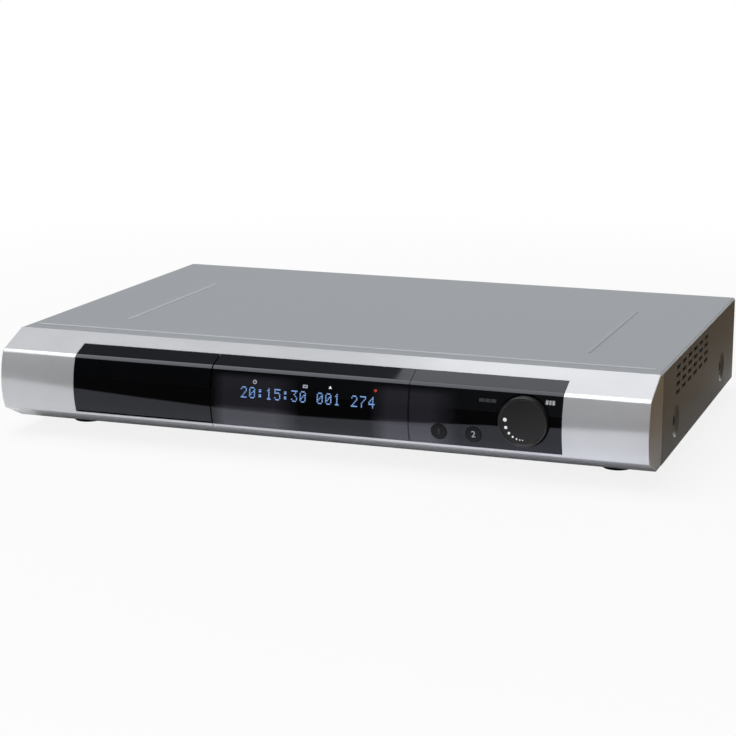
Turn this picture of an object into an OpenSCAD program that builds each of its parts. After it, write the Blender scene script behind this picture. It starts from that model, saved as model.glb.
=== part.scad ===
// Satellite television receiver: a flat steel case with a silver moulded front, a black
// gloss window in three sections, a jog knob, two round keys and a drop-down card flap.
// Millimetres, +Z up, +X to the viewer's right, the front towards -Y.
// The origin is the middle of the footprint, on the surface that the feet stand on.
// Places along Y are counted from the crease, the edge where the flat top ends and the
// front slope begins, and at_crease() carries them to the origin.

/* [Case] */
// Width of the case
body_w = 380; // [376:1:440]
// Height of the flat top above the surface
overall_h = 60; // [60:1:76]
// Depth of the flat top, from the crease to the rear edge
cover_d = 244; // [242:1:300]
// Height of the feet, and of the underside of the case
foot_h = 8; // [7:0.5:10]
// Thickness of the steel sheet
sheet_t = 1; // [0.8:0.1:1.2]
// Outer radius of the cover's two long bends
bend_r = 1.5; // [1.3:0.1:3]
// Gap in the joint between the cover and the front moulding
joint_gap = 0.2; // [0.1:0.05:0.4]
// Depth of the rear panel behind the cover's rear edge
rear_recess = 2; // [1:0.5:4]

/* [Embossed lines] */
// Width of each pressed line in the top
bead_w = 2.6; // [2:0.1:4]
// Height of each pressed line
bead_h = 0.4; // [0.2:0.05:0.6]
// Distance of the front line behind the crease
bead_y = 12.8; // [8:0.1:20]
// Distance that the front line stops short of each side
bead_end = 4.5; // [3:0.5:12]
// Distance of each lengthwise line from the middle
side_bead_x = 141; // [100:1:160]
// Start of the lengthwise lines
side_bead_start = 43; // [30:1:60]
// Length of the lengthwise lines
side_bead_len = 131; // [80:1:160]

/* [Side vents] */
// Slots in each row
vent_cols = 6; // [3:1:8]
// Rows of slots
vent_rows = 4; // [2:1:5]
// Length of a slot
vent_len = 11.5; // [8:0.5:14]
// Height of a slot
vent_h = 2.3; // [1.5:0.1:3]
// Pitch of the slots along the side
vent_pitch = 17.6; // [16:0.2:20]
// Pitch of the rows
vent_row_pitch = 4.7; // [4:0.1:6]
// Place of the first slot
vent_start = 52; // [46:1:60]
// Drop of the top row below the flat top
vent_drop = 6; // [5:0.5:10]

/* [Side screws] */
// Radius of the dish pressed round each side screw
dish_r = 9.5; // [8:0.5:11]
// Depth of the dish
dish_depth = 1.6; // [1.2:0.1:2]
// Height of the side screws
dish_z = 24.2; // [20:0.1:28]
// Place of the front side screw
dish_front_y = 48; // [44:1:60]
// Distance of the rear side screw from the rear edge
dish_rear = 44.5; // [30:0.5:60]
// Radius of a screw's shank
screw_r = 1.5; // [1.25:0.05:1.6]
// Radius of a screw's head
screw_head_r = 2.8; // [2.5:0.1:3.2]
// Height of a screw's head
screw_head_h = 1; // [0.8:0.1:1.2]
// Clearance round a screw's shank
screw_gap = 0.1; // [0.05:0.05:0.2]

/* [Front moulding] */
// Distance that the front bulges ahead of the crease
nose_d = 26.5; // [25:0.5:30]
// Height of the most forward line of the front
nose_z = 33.5; // [32:0.5:36]
// Radius of the curved face
face_r = 43; // [40:1:60]
// Angle of the slope below the crease
slope_deg = 22.2; // [20:0.2:24]
// Distance from the crease forward to where the lower bevel starts
bevel_run = 4; // [2:0.5:6]
// Angle of the lower bevel
bevel_deg = 24; // [20:0.5:26]
// Distance from the crease back to the side joint
cheek_d = 8.7; // [8:0.1:10]
// Wall of the moulding
moulding_t = 2.2; // [2:0.1:2.6]

/* [Window] */
// Width of the black window
window_w = 286.6; // [280:0.2:300]
// Width of its middle section
section_w = 116; // [112:1:120]
// Distance from the crease forward to the window's top edge
window_top_run = 11; // [9:0.5:13]
// Height of the window's lower edge
window_bottom_z = 17.9; // [17:0.1:19]
// Thickness of the window
window_t = 2; // [1.6:0.1:2.1]
// Gap round each fixed section
window_gap = 0.2; // [0.1:0.05:0.3]
// Width of the ledge that carries the fixed sections
ledge_w = 2.5; // [2:0.1:3.5]
// Thickness of that ledge
ledge_t = 1.6; // [1.2:0.1:2]

/* [Card flap] */
// Gap round the flap
flap_gap = 0.5; // [0.45:0.05:0.7]
// Radius of the flap's rounded hinge edge
barrel_r = 1.9; // [1.7:0.1:2.1]
// Radius of the flap's hinge pins
hinge_pin_r = 0.8; // [0.6:0.05:0.9]
// Length of the hinge pins
hinge_pin_len = 2.6; // [2:0.1:3]
// Radial clearance of the hinge pins
hinge_gap = 0.05; // [0.02:0.01:0.1]

/* [Card bay] */
// Width of a card slot
slot_w = 56; // [55:0.5:58]
// Height of a card slot
slot_h = 6; // [5.5:0.1:6.5]
// Height of the lower card slot's middle
slot_z = 28; // [27.5:0.1:29]
// Pitch of the two card slots
slot_pitch = 9.4; // [9:0.1:10]
// Depth of the card slots behind the bay's wall
slot_d = 48; // [44:1:60]
// Place of the bay's slotted wall
bay_wall_y = 6; // [5:0.5:6.5]
// Thickness of the bay's walls
bay_t = 1.6; // [1.2:0.1:2]
// Height of the slot for a chip card
chip_slot_h = 1.6; // [1.2:0.1:2]
// Wall of the card cage
cage_wall = 2; // [1.5:0.1:2.5]

/* [Jog knob] */
// Distance of the knob's axis from the window's right end
knob_in = 20.8; // [20:0.1:26]
// Height of the knob's axis
knob_z = 35; // [34:0.5:36]
// Diameter of the knob
knob_d = 27; // [25:0.2:28]
// Distance that the knob stands ahead of the front
knob_proud = 3; // [2:0.5:4]
// Thickness of the knob's disc
knob_t = 5.5; // [4.5:0.1:6]
// Gap between the knob and the panel
knob_gap = 0.9; // [0.4:0.1:1.2]
// Width of the knob's raised rim
rim_w = 0.8; // [0.6:0.1:1.2]
// Height of the knob's raised rim
rim_h = 0.3; // [0.2:0.05:0.5]
// Travel of the knob when it is pushed
knob_travel = 0.8; // [0.5:0.1:1]
// Radius of the encoder's shaft
shaft_r = 3; // [2.5:0.1:3]
// Running clearance of that shaft
shaft_gap = 0.05; // [0.02:0.01:0.1]
// Number of inlaid dots
dot_count = 7; // [4:1:9]
// Radius of the arc of dots
dot_arc_r = 9.6; // [9:0.1:11]
// Diameter of the largest dot
dot_d = 2.1; // [1.8:0.1:2.6]
// Angle that the arc of dots spans
dot_sweep = 97; // [80:1:100]
// Size of each dot against the one before it
dot_ratio = 0.81; // [0.75:0.01:0.9]
// Depth of the dots
dot_depth = 0.3; // [0.2:0.05:0.4]

/* [Keys] */
// Diameter of a round key
key_d = 8.6; // [8:0.1:9]
// Distance of the keys to the right of the middle of the space beside the knob
key_shift = 1.6; // [0:0.05:4]
// Pitch of the two keys
key_pitch = 19.4; // [18:0.2:20]
// Gap between the sill behind the window and the flanges of the keys
key_lift = 0.1; // [0.1:0.1:0.6]
// Height of a key above the panel
key_proud = 0.3; // [0.2:0.05:0.6]
// Gap round a key
key_gap = 0.25; // [0.2:0.05:0.35]
// Travel of a key
key_travel = 0.6; // [0.4:0.05:0.7]

/* [Display] */
// Width of the display tube
tube_w = 100; // [90:1:104]
// Height of the display tube
tube_h = 19; // [16:0.5:20]
// Thickness of the display tube
tube_t = 6; // [5:0.5:6.5]
// Distance of the display tube's middle below the flat top
tube_drop = 23; // [22:0.5:24]

/* [Feet] */
// Radius of a foot
foot_r = 8.5; // [7:0.5:10]
// Distance of the feet from each side
foot_in = 28; // [24:1:40]
// Distance of the front feet behind the crease
foot_front_y = 28; // [24:1:34]
// Distance of the rear feet from the rear edge
foot_rear = 30; // [24:1:40]

/* [Boards] */
// Height of a board above the tray
board_gap = 5; // [4:0.5:6]
// Thickness of a board
board_t = 1.6; // [1.2:0.2:2]
// Gap between the main board and the disk's cradle
main_gap = 3; // [2:0.5:6]
// Room behind the disk for its plug
plug_room = 10.1; // [9:0.1:14]
// Width of the power board
power_w = 74; // [70:1:76]
// Depth of the power board
power_d = 120; // [110:1:130]

/* [Hard disk] */
// Width of the hard disk
disk_w = 101.6; // [101.6:0.1:102]
// Length of the hard disk
disk_l = 147; // [146:0.5:147]
// Height of the hard disk
disk_h = 26.1; // [20:0.1:26.1]
// Distance of the hard disk from the middle
disk_x = 10; // [9:1:14]

/* [Fan] */
// Side of the fan's frame
fan_s = 40; // [36:1:40]
// Thickness of the fan
fan_t = 10; // [9:0.5:12]
// Blades of the fan
fan_blades = 7; // [5:1:9]
// Gap between the fan and the boards beside it
fan_gap = 1; // [0.5:0.5:3]

/* [Rear sockets] */
// Radius of an aerial socket's thread
aerial_r = 4.7; // [4.6:0.05:4.8]
// Length of an aerial socket ahead of the rear panel
aerial_len = 11; // [10:0.5:14]
// Distance of the first aerial socket from the side
aerial_in = 24; // [20:1:30]
// Pitch of the aerial sockets
aerial_pitch = 21; // [19:0.5:22]
// Radius of a phono socket's sleeve
phono_r = 4.15; // [4:0.05:4.2]
// Length of a phono socket
phono_len = 9; // [8:0.5:10]
// Gap between neighbouring sockets on the main board
socket_gap = 2.4; // [1.5:0.1:3]
// Distance of the mains inlet from the side
inlet_in = 32; // [28:1:34]
// Distance between the mains inlet and the mains switch
switch_pitch = 31; // [28:1:33]
// Clearance between a socket and its cut-out
cut_gap = 0.3; // [0.2:0.05:0.5]

/* [Hidden] */

$fn = 64;
FINE = 180; // segments of the long curves
HEX = 6;
CUT = 1; // overshoot of a cut past a face

half_w = body_w / 2;
overall_d = knob_proud + nose_d + cover_d + aerial_len - rear_recess;
crease_y = -overall_d / 2 + knob_proud + nose_d;
floor_z = foot_h + sheet_t;
roof_z = overall_h - sheet_t;
panel_y = cover_d - rear_recess; // outer face of the rear panel
panel_in_y = panel_y - sheet_t;
side_in_x = half_w - sheet_t;
seat_gap = 0.1; // between flat pieces that are screwed or slid together

// Front outline: a circle cut by the slope above and the bevel below
face_c = [face_r - nose_d, nose_z];
function face_y(z, inset = 0) = face_c[0] - sqrt(pow(face_r - inset, 2) - pow(z - nose_z, 2));

// Flap
flap_x0 = -window_w / 2 + flap_gap / 2;
flap_x1 = -section_w / 2 - flap_gap / 2;
pivot_z = window_bottom_z + flap_gap + barrel_r;
pivot_y = face_y(pivot_z, barrel_r);
hinge_bore_r = hinge_pin_r + hinge_gap;
hinge_boss = flap_gap + barrel_r; // half side of the boss round a hinge bore
bore_end = 0.4; // room past the end of a hinge pin
boss_len = hinge_pin_len + 1.4;

// Card bay
bay_gap = 0.4; // between the bay and the flap's swing
bay_x0 = flap_x0 + bay_gap;
bay_x1 = flap_x1 - bay_gap;
bay_x = (bay_x0 + bay_x1) / 2;
bay_skin = 2.9; // distance of the bay's edges behind the outer face
bay_floor_z = pivot_z - barrel_r;
bay_roof_z = overall_h - 9;
bay_front_y = pivot_y + barrel_r + 2 * bay_gap;
bay_rear_y = bay_wall_y + bay_t;
slot_zs = [slot_z, slot_z + slot_pitch];
cage_top_z = slot_zs[1] + slot_h / 2 + cage_wall;
reader_h = 6; // height of the chip card reader
chip_z = cage_top_z + reader_h / 2;

// Boards
board_z = floor_z + board_gap;
board_top = board_z + board_t;
tray_front_y = cheek_d + joint_gap;
board_end = 1; // gap between a board and the rear panel
power_x1 = side_in_x - 6;
power_x0 = power_x1 - power_w;
power_y1 = panel_in_y - board_end;
power_y0 = power_y1 - power_d;
fan_x = power_x0 - fan_gap - fan_s / 2;
disk_y0 = tray_front_y + 8;
disk_y1 = disk_y0 + disk_l;
disk_x0 = disk_x - disk_w / 2;
disk_x1 = disk_x + disk_w / 2;
cradle_t = 1.2;
main_x0 = -side_in_x + 10;
main_x1 = disk_x0 - cradle_t - main_gap; // beside the disk
main_rear_x1 = fan_x - fan_s / 2 - fan_gap; // along the rear panel
main_y0 = tray_front_y + 4;
main_y1 = panel_in_y - board_end;
main_rear_y0 = disk_y1 + plug_room;
stud_in = 5; // distance of a board screw from the board's edge
stud_r = 2.9;
front_board_y = -13; // front face of the front board
ledge_back = window_t + ledge_t;
front_board_z = [foot_h - (front_board_y + bevel_run) * tan(bevel_deg) + ledge_back / cos(bevel_deg) + 0.2,
    overall_h + front_board_y * tan(slope_deg) - ledge_back / cos(slope_deg) - bay_gap];
front_board_x = [-section_w / 2 + 5, window_w / 2 - 1];

// Knob and encoder
knob_x = window_w / 2 - knob_in;
knob_front_y = -nose_d - knob_proud;
knob_back_y = knob_front_y + knob_t;
encoder_d = 6.4;
encoder_w = 12.4;
end_gap = 0.2; // left at the end of a push
encoder_front_y = front_board_y - encoder_d;
hub_r = 5;
hub_back_y = encoder_front_y - knob_travel - end_gap;
shaft_front_y = knob_front_y + 2;
shaft_back_y = front_board_y - 1.5;
plunger_r = 1.5;

// Keys
key_flange_r = key_d / 2 + 0.6;
key_z = window_bottom_z + ledge_w + key_flange_r + key_lift;
keys_mid = (section_w / 2 + knob_x - knob_d / 2) / 2 + key_shift;
key_xs = [keys_mid - key_pitch / 2, keys_mid + key_pitch / 2];
key_switch_w = 6.2;
key_switch_d = 2.6;
key_stem_r = 1.6;
key_flange_t = 0.8;
key_back_y = front_board_y - key_switch_d - key_travel - end_gap;

// Screws, feet and dishes
shank_hole_r = screw_r + screw_gap;
foot_recess_h = 3.5; // depth of the recess for a foot's screw
pan_head_h = 1.6;
screw_bite = 3; // length of a shank beyond what it holds
dish_ball_r = (dish_r * dish_r + dish_depth * dish_depth) / (2 * dish_depth);
dish_ys = [dish_front_y, cover_d - dish_rear];
dish_floor_x = half_w - dish_depth;
seat_x = dish_floor_x - 0.1;
tray_half = dish_floor_x - sheet_t - 0.1;
flange_top = dish_z + 11;
rear_screw_in = 40;
rear_screw_xs = [for (side = [-1, 0, 1]) side * (half_w - rear_screw_in)];
rear_tab_w = 14; // tabs of the cover, behind the rear panel
rear_tab_h = 11;
rear_tab_y = panel_y + seat_gap;
rear_screw_z = roof_z - rear_tab_h + 4.5;
rear_flange_d = 8; // depth of the rear panel's flange under the top
tray_r = 1.4; // outer radius of the tray's bends
foot_x = half_w - foot_in;
foot_ys = [foot_front_y, cover_d - foot_rear];

// Hard disk
disk_z0 = floor_z + 7;
cradle_wall = 14;
damper_r = 4;
damper_in = 18;
disk_hole_ys = [28, 88, 130];
disk_hole_z = 6.4;
disk_thread = 4; // depth of the screws in the disk

// Rear sockets, from the left seen from the front
aerials = 4;
aerial_x0 = -half_w + aerial_in;
shoulder_r = aerial_r + 0.5; // plain barrel behind the thread
nut_t = 2;
can_gap = 2; // gap between the tuner cans and the rear panel
aerial_z = board_top + 8;
mains_z = 27;
inlet_x = half_w - inlet_in;
switch_x = inlet_x - switch_pitch;
fan_z = (floor_z + roof_z) / 2;
fan_y1 = panel_in_y - 0.1;
fan_y0 = fan_y1 - fan_t;

// ---------------------------------------------------------------- helpers
module at_crease() {
    translate([0, crease_y, 0]) children();
}

module span(lo, hi) {
    translate(lo) cube(hi - lo);
}

// Carries a YZ outline along X
module along_x(x0, x1) {
    translate([x0, 0, 0]) rotate([90, 0, 90]) linear_extrude(x1 - x0) children();
}

// Carries an XZ outline along Y
module along_y(y0, y1) {
    translate([0, y1, 0]) rotate([90, 0, 0]) linear_extrude(y1 - y0) children();
}

module rod_x(r, x0, x1, y, z) {
    translate([x0, y, z]) rotate([0, 90, 0]) cylinder(r = r, h = x1 - x0);
}

module rod_y(r, x, y0, y1, z) {
    translate([x, y0, z]) rotate([-90, 0, 0]) cylinder(r = r, h = y1 - y0);
}

module rod_z(r, x, y, z0, z1) {
    translate([x, y, z0]) cylinder(r = r, h = z1 - z0);
}

module mirror_x() {
    children();
    mirror([1, 0, 0]) children();
}

// Slot with round ends, centred, lying along the first axis
module slot_2d(len, wide) {
    square([len - wide, wide], center = true);
    for (side = [-1, 1]) translate([side * (len - wide) / 2, 0]) circle(wide / 2);
}

// ---------------------------------------------------------------- steel case
// Arch that a bent cover makes, seen from the front
module arch(half, top, r, bottom) {
    translate([-half, bottom]) square([2 * half, top - r - bottom]);
    translate([-half + r, top - r]) square([2 * (half - r), r]);
    for (side = [-1, 1]) translate([side * (half - r), top - r]) circle(r);
}

// Raised line pressed into the top, with the sheet's underside left flat
module bead() {
    bead_r = (bead_w * bead_w / 4 + bead_h * bead_h) / (2 * bead_h);
    front_len = body_w - 2 * bead_end;
    intersection() {
        union() {
            rod_x(bead_r, -front_len / 2, front_len / 2, bead_y, overall_h + bead_h - bead_r);
            for (side = [-1, 1])
                rod_y(bead_r, side * side_bead_x, side_bead_start,
                    side_bead_start + side_bead_len, overall_h + bead_h - bead_r);
        }
        span([-half_w, 0, roof_z + sheet_t / 2], [half_w, cover_d, overall_h + CUT]);
    }
}

module side_vents() {
    for (col = [0 : vent_cols - 1], row = [0 : vent_rows - 1])
        translate([0, vent_start + col * vent_pitch, overall_h - vent_drop - row * vent_row_pitch])
            along_x(-half_w - CUT, half_w + CUT) slot_2d(vent_len, vent_h);
}

// Pressed dish round a side screw, as the ball that shapes it
module dish(y, extra) {
    translate([half_w - dish_depth + dish_ball_r, y, dish_z])
        sphere(dish_ball_r + extra, $fn = FINE);
}

module dish_backs() {
    mirror_x() for (y = dish_ys) intersection() {
        dish(y, sheet_t);
        span([half_w - sheet_t - dish_depth - CUT, y - 2 * dish_r, dish_z - 2 * dish_r],
            [half_w - sheet_t / 2, y + 2 * dish_r, dish_z + 2 * dish_r]);
    }
}

module dish_cuts() {
    mirror_x() for (y = dish_ys) {
        dish(y, 0);
        rod_x(screw_head_r + screw_gap, seat_x, half_w, y, dish_z);
        rod_x(shank_hole_r, tray_half, half_w, y, dish_z);
    }
}

module top_cover() {
    color("#8f9396") at_crease() difference() {
        union() {
            along_y(joint_gap, cover_d) difference() {
                arch(half_w, overall_h, bend_r, foot_h);
                arch(half_w - sheet_t, roof_z, bend_r - sheet_t, foot_h - CUT);
            }
            bead();
            dish_backs();
            for (x = rear_screw_xs)
                span([x - rear_tab_w / 2, rear_tab_y, roof_z - rear_tab_h],
                    [x + rear_tab_w / 2, rear_tab_y + sheet_t, roof_z + sheet_t / 2]);
        }
        span([-half_w - CUT, 0, 0], [half_w + CUT, cheek_d + joint_gap, roof_z]);
        side_vents();
        dish_cuts();
        for (x = rear_screw_xs) rod_y(shank_hole_r, x, panel_y, cover_d, rear_screw_z);
    }
}

module foot_places() {
    for (side = [-1, 1], y = foot_ys) translate([side * foot_x, y, 0]) children();
}

// Slots in the floor under the disk, in two rows, and under the power board
module floor_vents() {
    count = 8;
    pitch = 12;
    slot_len = 34;
    slot_wide = 4;
    start = 60;
    off = disk_w / 4;
    for (n = [0 : count - 1], x = [disk_x - off, disk_x + off, power_x0 + power_w / 2])
        translate([x, start + n * pitch, foot_h - CUT])
            linear_extrude(sheet_t + 2 * CUT) slot_2d(slot_len, slot_wide);
}

module chassis_tray() {
    color("#9aa0a3") at_crease() difference() {
        union() {
            along_y(tray_front_y, panel_y) difference() {
                mirror([0, 1]) translate([0, -foot_h])
                    arch(tray_half, 0, tray_r, foot_h - flange_top);
                mirror([0, 1]) translate([0, -floor_z])
                    arch(tray_half - sheet_t, 0, tray_r - sheet_t, foot_h - flange_top - CUT);
            }
            span([-tray_half + tray_r, tray_front_y, foot_h],
                [tray_half - tray_r, tray_front_y + sheet_t, board_z]);
        }
        foot_places() rod_z(shank_hole_r, 0, 0, foot_h - CUT, floor_z + CUT);
        floor_vents();
        mirror_x() for (y = dish_ys) rod_x(shank_hole_r, tray_half - 2 * sheet_t, half_w, y, dish_z);
    }
}

// Outline cut through the rear panel, centred on a socket
module panel_window(x, z, w, h) {
    span([x - w / 2 - cut_gap, panel_in_y - CUT, z - h / 2 - cut_gap],
        [x + w / 2 + cut_gap, panel_y + CUT, z + h / 2 + cut_gap]);
}

module fan_grille() {
    rings = 4;
    ring_pitch = 4.3;
    ring_w = 2.6;
    spoke_w = 2.4;
    difference() {
        for (ring = [1 : rings]) difference() {
            rod_y(ring * ring_pitch + ring_w / 2, fan_x, panel_in_y - CUT, panel_y + CUT, fan_z);
            rod_y(ring * ring_pitch - ring_w / 2, fan_x, panel_in_y - 2 * CUT, panel_y + 2 * CUT, fan_z);
        }
        for (turn = [0, 90]) translate([fan_x, panel_y, fan_z]) rotate([0, turn, 0])
            cube([2 * rings * ring_pitch + 2 * ring_w, 6 * CUT, spoke_w], center = true);
    }
}

module rear_panel() {
    panel_half = tray_half - tray_r - seat_gap;
    panel_top = roof_z - 2 * seat_gap;
    color("#a4a9ac") at_crease() difference() {
        union() {
            span([-panel_half, panel_in_y, floor_z], [panel_half, panel_y, panel_top]);
            span([-panel_half, panel_in_y - rear_flange_d, panel_top - sheet_t],
                [panel_half, panel_in_y, panel_top]);
        }
        for (n = [0 : aerials - 1]) rod_y(shoulder_r + cut_gap, aerial_x0 + n * aerial_pitch,
            panel_in_y - CUT, panel_y + CUT, aerial_z);
        panel_window(lan_x, lan_z, lan_size[0], lan_size[2]);
        panel_window(usb_x, usb_z, usb_size[0], usb_size[2]);
        panel_window(video_x, video_z, video_size[0], video_size[2]);
        panel_window(scart_x, scart_z, scart_size[0], scart_size[2]);
        for (n = [-1 : 1]) rod_y(phono_r + cut_gap, phono_x + n * phono_pitch,
            panel_in_y - CUT, panel_y + CUT, phono_z);
        panel_window(optical_x, optical_z, optical_size[0], optical_size[2]);
        panel_window(switch_x, mains_z, switch_size[0], switch_size[2]);
        panel_window(inlet_x, mains_z, inlet_size[0], inlet_size[2]);
        fan_grille();
        for (x = rear_screw_xs) rod_y(shank_hole_r, x, panel_in_y - CUT, cover_d, rear_screw_z);
    }
}

// ---------------------------------------------------------------- front moulding
// YZ outline of the front at a depth of inset below its skin, as far back as back
module front_outline(inset, back) {
    reach = nose_d + CUT;
    slope_top = overall_h - inset / cos(slope_deg);
    bevel_low = foot_h + inset / cos(bevel_deg);
    intersection() {
        translate(face_c) circle(face_r - inset, $fn = FINE);
        polygon([[back, foot_h + inset],
            [-bevel_run + (bevel_low - foot_h - inset) / tan(bevel_deg), foot_h + inset],
            [-reach, bevel_low + (reach - bevel_run) * tan(bevel_deg)],
            [-reach, slope_top - reach * tan(slope_deg)],
            [0, slope_top],
            [0, roof_z - inset],
            [back, roof_z - inset]]);
    }
}

module front_skin(from, to, back) {
    difference() {
        front_outline(from, back);
        front_outline(to, back + CUT);
    }
}

// Part of the outline that the window takes, grown by extra
module window_zone(extra) {
    translate([-nose_d - 2 * CUT, window_bottom_z - extra])
        square([nose_d + 2 * CUT - window_top_run + extra, overall_h]);
}

// Ledge behind the fixed sections' edges
module window_ledge() {
    x0 = -section_w / 2 + boss_len + CUT;
    difference() {
        along_x(x0, window_w / 2 + ledge_w) intersection() {
            front_skin(moulding_t / 2, window_t + ledge_t, cheek_d);
            window_zone(ledge_w);
        }
        along_x(x0 - CUT, window_w / 2 - ledge_w) window_zone(-ledge_w);
        along_x(x0 - CUT, window_w / 2) intersection() {
            front_skin(0, window_t, cheek_d);
            window_zone(0);
        }
    }
}

module hinge_boss(x0, x1) {
    span([x0, pivot_y - barrel_r / 2, pivot_z - hinge_boss],
        [x1, pivot_y + hinge_boss, pivot_z + hinge_boss]);
}

module front_moulding() {
    shell_x = half_w - moulding_t;
    back_rail = 3.2;
    boss_x1 = -window_w / 2;
    color("#c4c6c9") at_crease() difference() {
        union() {
            difference() {
                along_x(-shell_x, shell_x) front_skin(0, moulding_t, cheek_d);
                along_x(-window_w / 2, window_w / 2) window_zone(0);
            }
            mirror_x() along_x(shell_x, half_w) front_outline(0, cheek_d);
            span([-shell_x, cheek_d - CUT, roof_z - moulding_t],
                [shell_x, cheek_d + back_rail, roof_z]);
            window_ledge();
            hinge_boss(boss_x1 - boss_len, boss_x1);
        }
        rod_x(hinge_bore_r, boss_x1 - hinge_pin_len - bore_end, boss_x1 + CUT, pivot_y, pivot_z);
    }
}

// One section of the black window
module window_section(x0, x1) {
    along_x(x0, x1) intersection() {
        front_skin(0, window_t, 0);
        window_zone(-window_gap);
    }
}

module display_window() {
    x0 = -section_w / 2;
    color("#0a0b0d") at_crease() difference() {
        union() {
            window_section(x0, section_w / 2 - window_gap);
            hinge_boss(x0, x0 + boss_len);
        }
        rod_x(hinge_bore_r, x0 - CUT, x0 + hinge_pin_len + bore_end, pivot_y, pivot_z);
    }
}

module control_panel() {
    color("#0b0c0e") at_crease() difference() {
        window_section(section_w / 2, window_w / 2 - window_gap);
        rod_y(knob_d / 2 + knob_gap, knob_x, -nose_d - CUT, 0, knob_z);
        for (x = key_xs) rod_y(key_d / 2 + key_gap, x, -nose_d - CUT, 0, key_z);
    }
}

module card_flap() {
    color("#090a0c") at_crease() {
        along_x(flap_x0, flap_x1) {
            intersection() {
                front_skin(0, window_t, 0);
                window_zone(-flap_gap);
                translate([-nose_d - CUT, pivot_z]) square([nose_d + CUT, overall_h]);
            }
            translate([pivot_y, pivot_z]) circle(barrel_r);
        }
        rod_x(hinge_pin_r, flap_x0 - hinge_pin_len, flap_x1 + hinge_pin_len, pivot_y, pivot_z);
    }
}

// ---------------------------------------------------------------- card bay
module card_bay() {
    color("#141517") at_crease() difference() {
        along_x(bay_x0, bay_x1) difference() {
            intersection() {
                front_outline(bay_skin, bay_rear_y);
                translate([bay_front_y - nose_d, bay_floor_z])
                    square([nose_d - bay_front_y + bay_rear_y, bay_roof_z - bay_floor_z]);
            }
            translate([pivot_y, pivot_z]) circle(barrel_r + 1.5 * bay_gap);
        }
        span([bay_x0 + bay_t, -nose_d, bay_floor_z + bay_t],
            [bay_x1 - bay_t, bay_wall_y, bay_roof_z - bay_t]);
        for (z = slot_zs)
            span([bay_x - slot_w / 2, 0, z - slot_h / 2],
                [bay_x + slot_w / 2, bay_rear_y + CUT, z + slot_h / 2]);
        span([bay_x - slot_w / 2, 0, chip_z - chip_slot_h / 2],
            [bay_x + slot_w / 2, bay_rear_y + CUT, chip_z + chip_slot_h / 2]);
    }
}

cage_half = slot_w / 2 + cage_wall;
cage_rear_y = bay_rear_y + slot_d + cage_wall;

module card_cage() {
    color("#b9bcbd") at_crease() difference() {
        span([bay_x - cage_half, bay_rear_y, board_top], [bay_x + cage_half, cage_rear_y, cage_top_z]);
        for (z = slot_zs)
            span([bay_x - slot_w / 2, bay_rear_y - CUT, z - slot_h / 2],
                [bay_x + slot_w / 2, cage_rear_y - cage_wall, z + slot_h / 2]);
        span([bay_x - slot_w / 2, bay_rear_y + cage_wall, board_top + cage_wall],
            [bay_x + slot_w / 2, cage_rear_y + CUT, slot_zs[0] - slot_h / 2 - cage_wall]);
    }
}

module chip_card_reader() {
    reader_d = 44;
    color("#1d1e20") at_crease() difference() {
        span([bay_x - cage_half, bay_rear_y, cage_top_z],
            [bay_x + cage_half, bay_rear_y + reader_d, cage_top_z + reader_h]);
        span([bay_x - slot_w / 2, bay_rear_y - CUT, chip_z - chip_slot_h / 2],
            [bay_x + slot_w / 2, bay_rear_y + reader_d - cage_wall, chip_z + chip_slot_h / 2]);
    }
}

// ---------------------------------------------------------------- knob and keys
// Size of dot n, and its place round the knob: the steps between dots shrink as they do
function dot_r(n) = dot_d / 2 * pow(dot_ratio, n);
function dot_turn(n) =
    272 - dot_sweep * (1 - (1 - pow(dot_ratio, n)) / (1 - pow(dot_ratio, dot_count - 1)));
function dot_place(n) = [dot_arc_r * cos(dot_turn(n)), dot_arc_r * sin(dot_turn(n))];

module knob_frame() {
    translate([knob_x, knob_front_y, knob_z]) rotate([90, 0, 0]) children();
}

module dots(extra) {
    knob_frame() for (n = [0 : dot_count - 1])
        translate([dot_place(n)[0], dot_place(n)[1], -rim_h - dot_depth])
            cylinder(r = dot_r(n), h = dot_depth + extra);
}

module jog_knob() {
    knob_r = knob_d / 2;
    edge = 0.6;
    color("#27282a") at_crease() difference() {
        union() {
            knob_frame() rotate_extrude($fn = FINE)
                polygon([[0, -rim_h], [knob_r - edge - rim_w, -rim_h], [knob_r - edge - rim_w / 2, 0],
                    [knob_r - edge, 0], [knob_r, -edge], [knob_r, -knob_t], [0, -knob_t]]);
            rod_y(hub_r, knob_x, knob_back_y - CUT, hub_back_y, knob_z);
        }
        dots(CUT);
        rod_y(shaft_r, knob_x, shaft_front_y, hub_back_y + CUT, knob_z);
    }
}

module knob_dots() {
    color("#f4f5f6") at_crease() dots(0);
}

module encoder_shaft() {
    color("#b8bbbe") at_crease() rod_y(shaft_r, knob_x, shaft_front_y, shaft_back_y, knob_z);
}

module encoder_plunger() {
    color("#d7d4c8") at_crease()
        rod_y(plunger_r, knob_x, shaft_back_y + seat_gap, front_board_y + board_t + knob_travel, knob_z);
}

module encoder_body() {
    half = encoder_w / 2;
    color("#3a3c40") at_crease() difference() {
        span([knob_x - half, encoder_front_y, knob_z - half],
            [knob_x + half, front_board_y, knob_z + half]);
        rod_y(shaft_r + shaft_gap, knob_x, encoder_front_y - CUT,
            shaft_back_y + knob_travel + end_gap, knob_z);
        rod_y(plunger_r + shaft_gap, knob_x, encoder_front_y, front_board_y + CUT, knob_z);
    }
}

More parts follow.
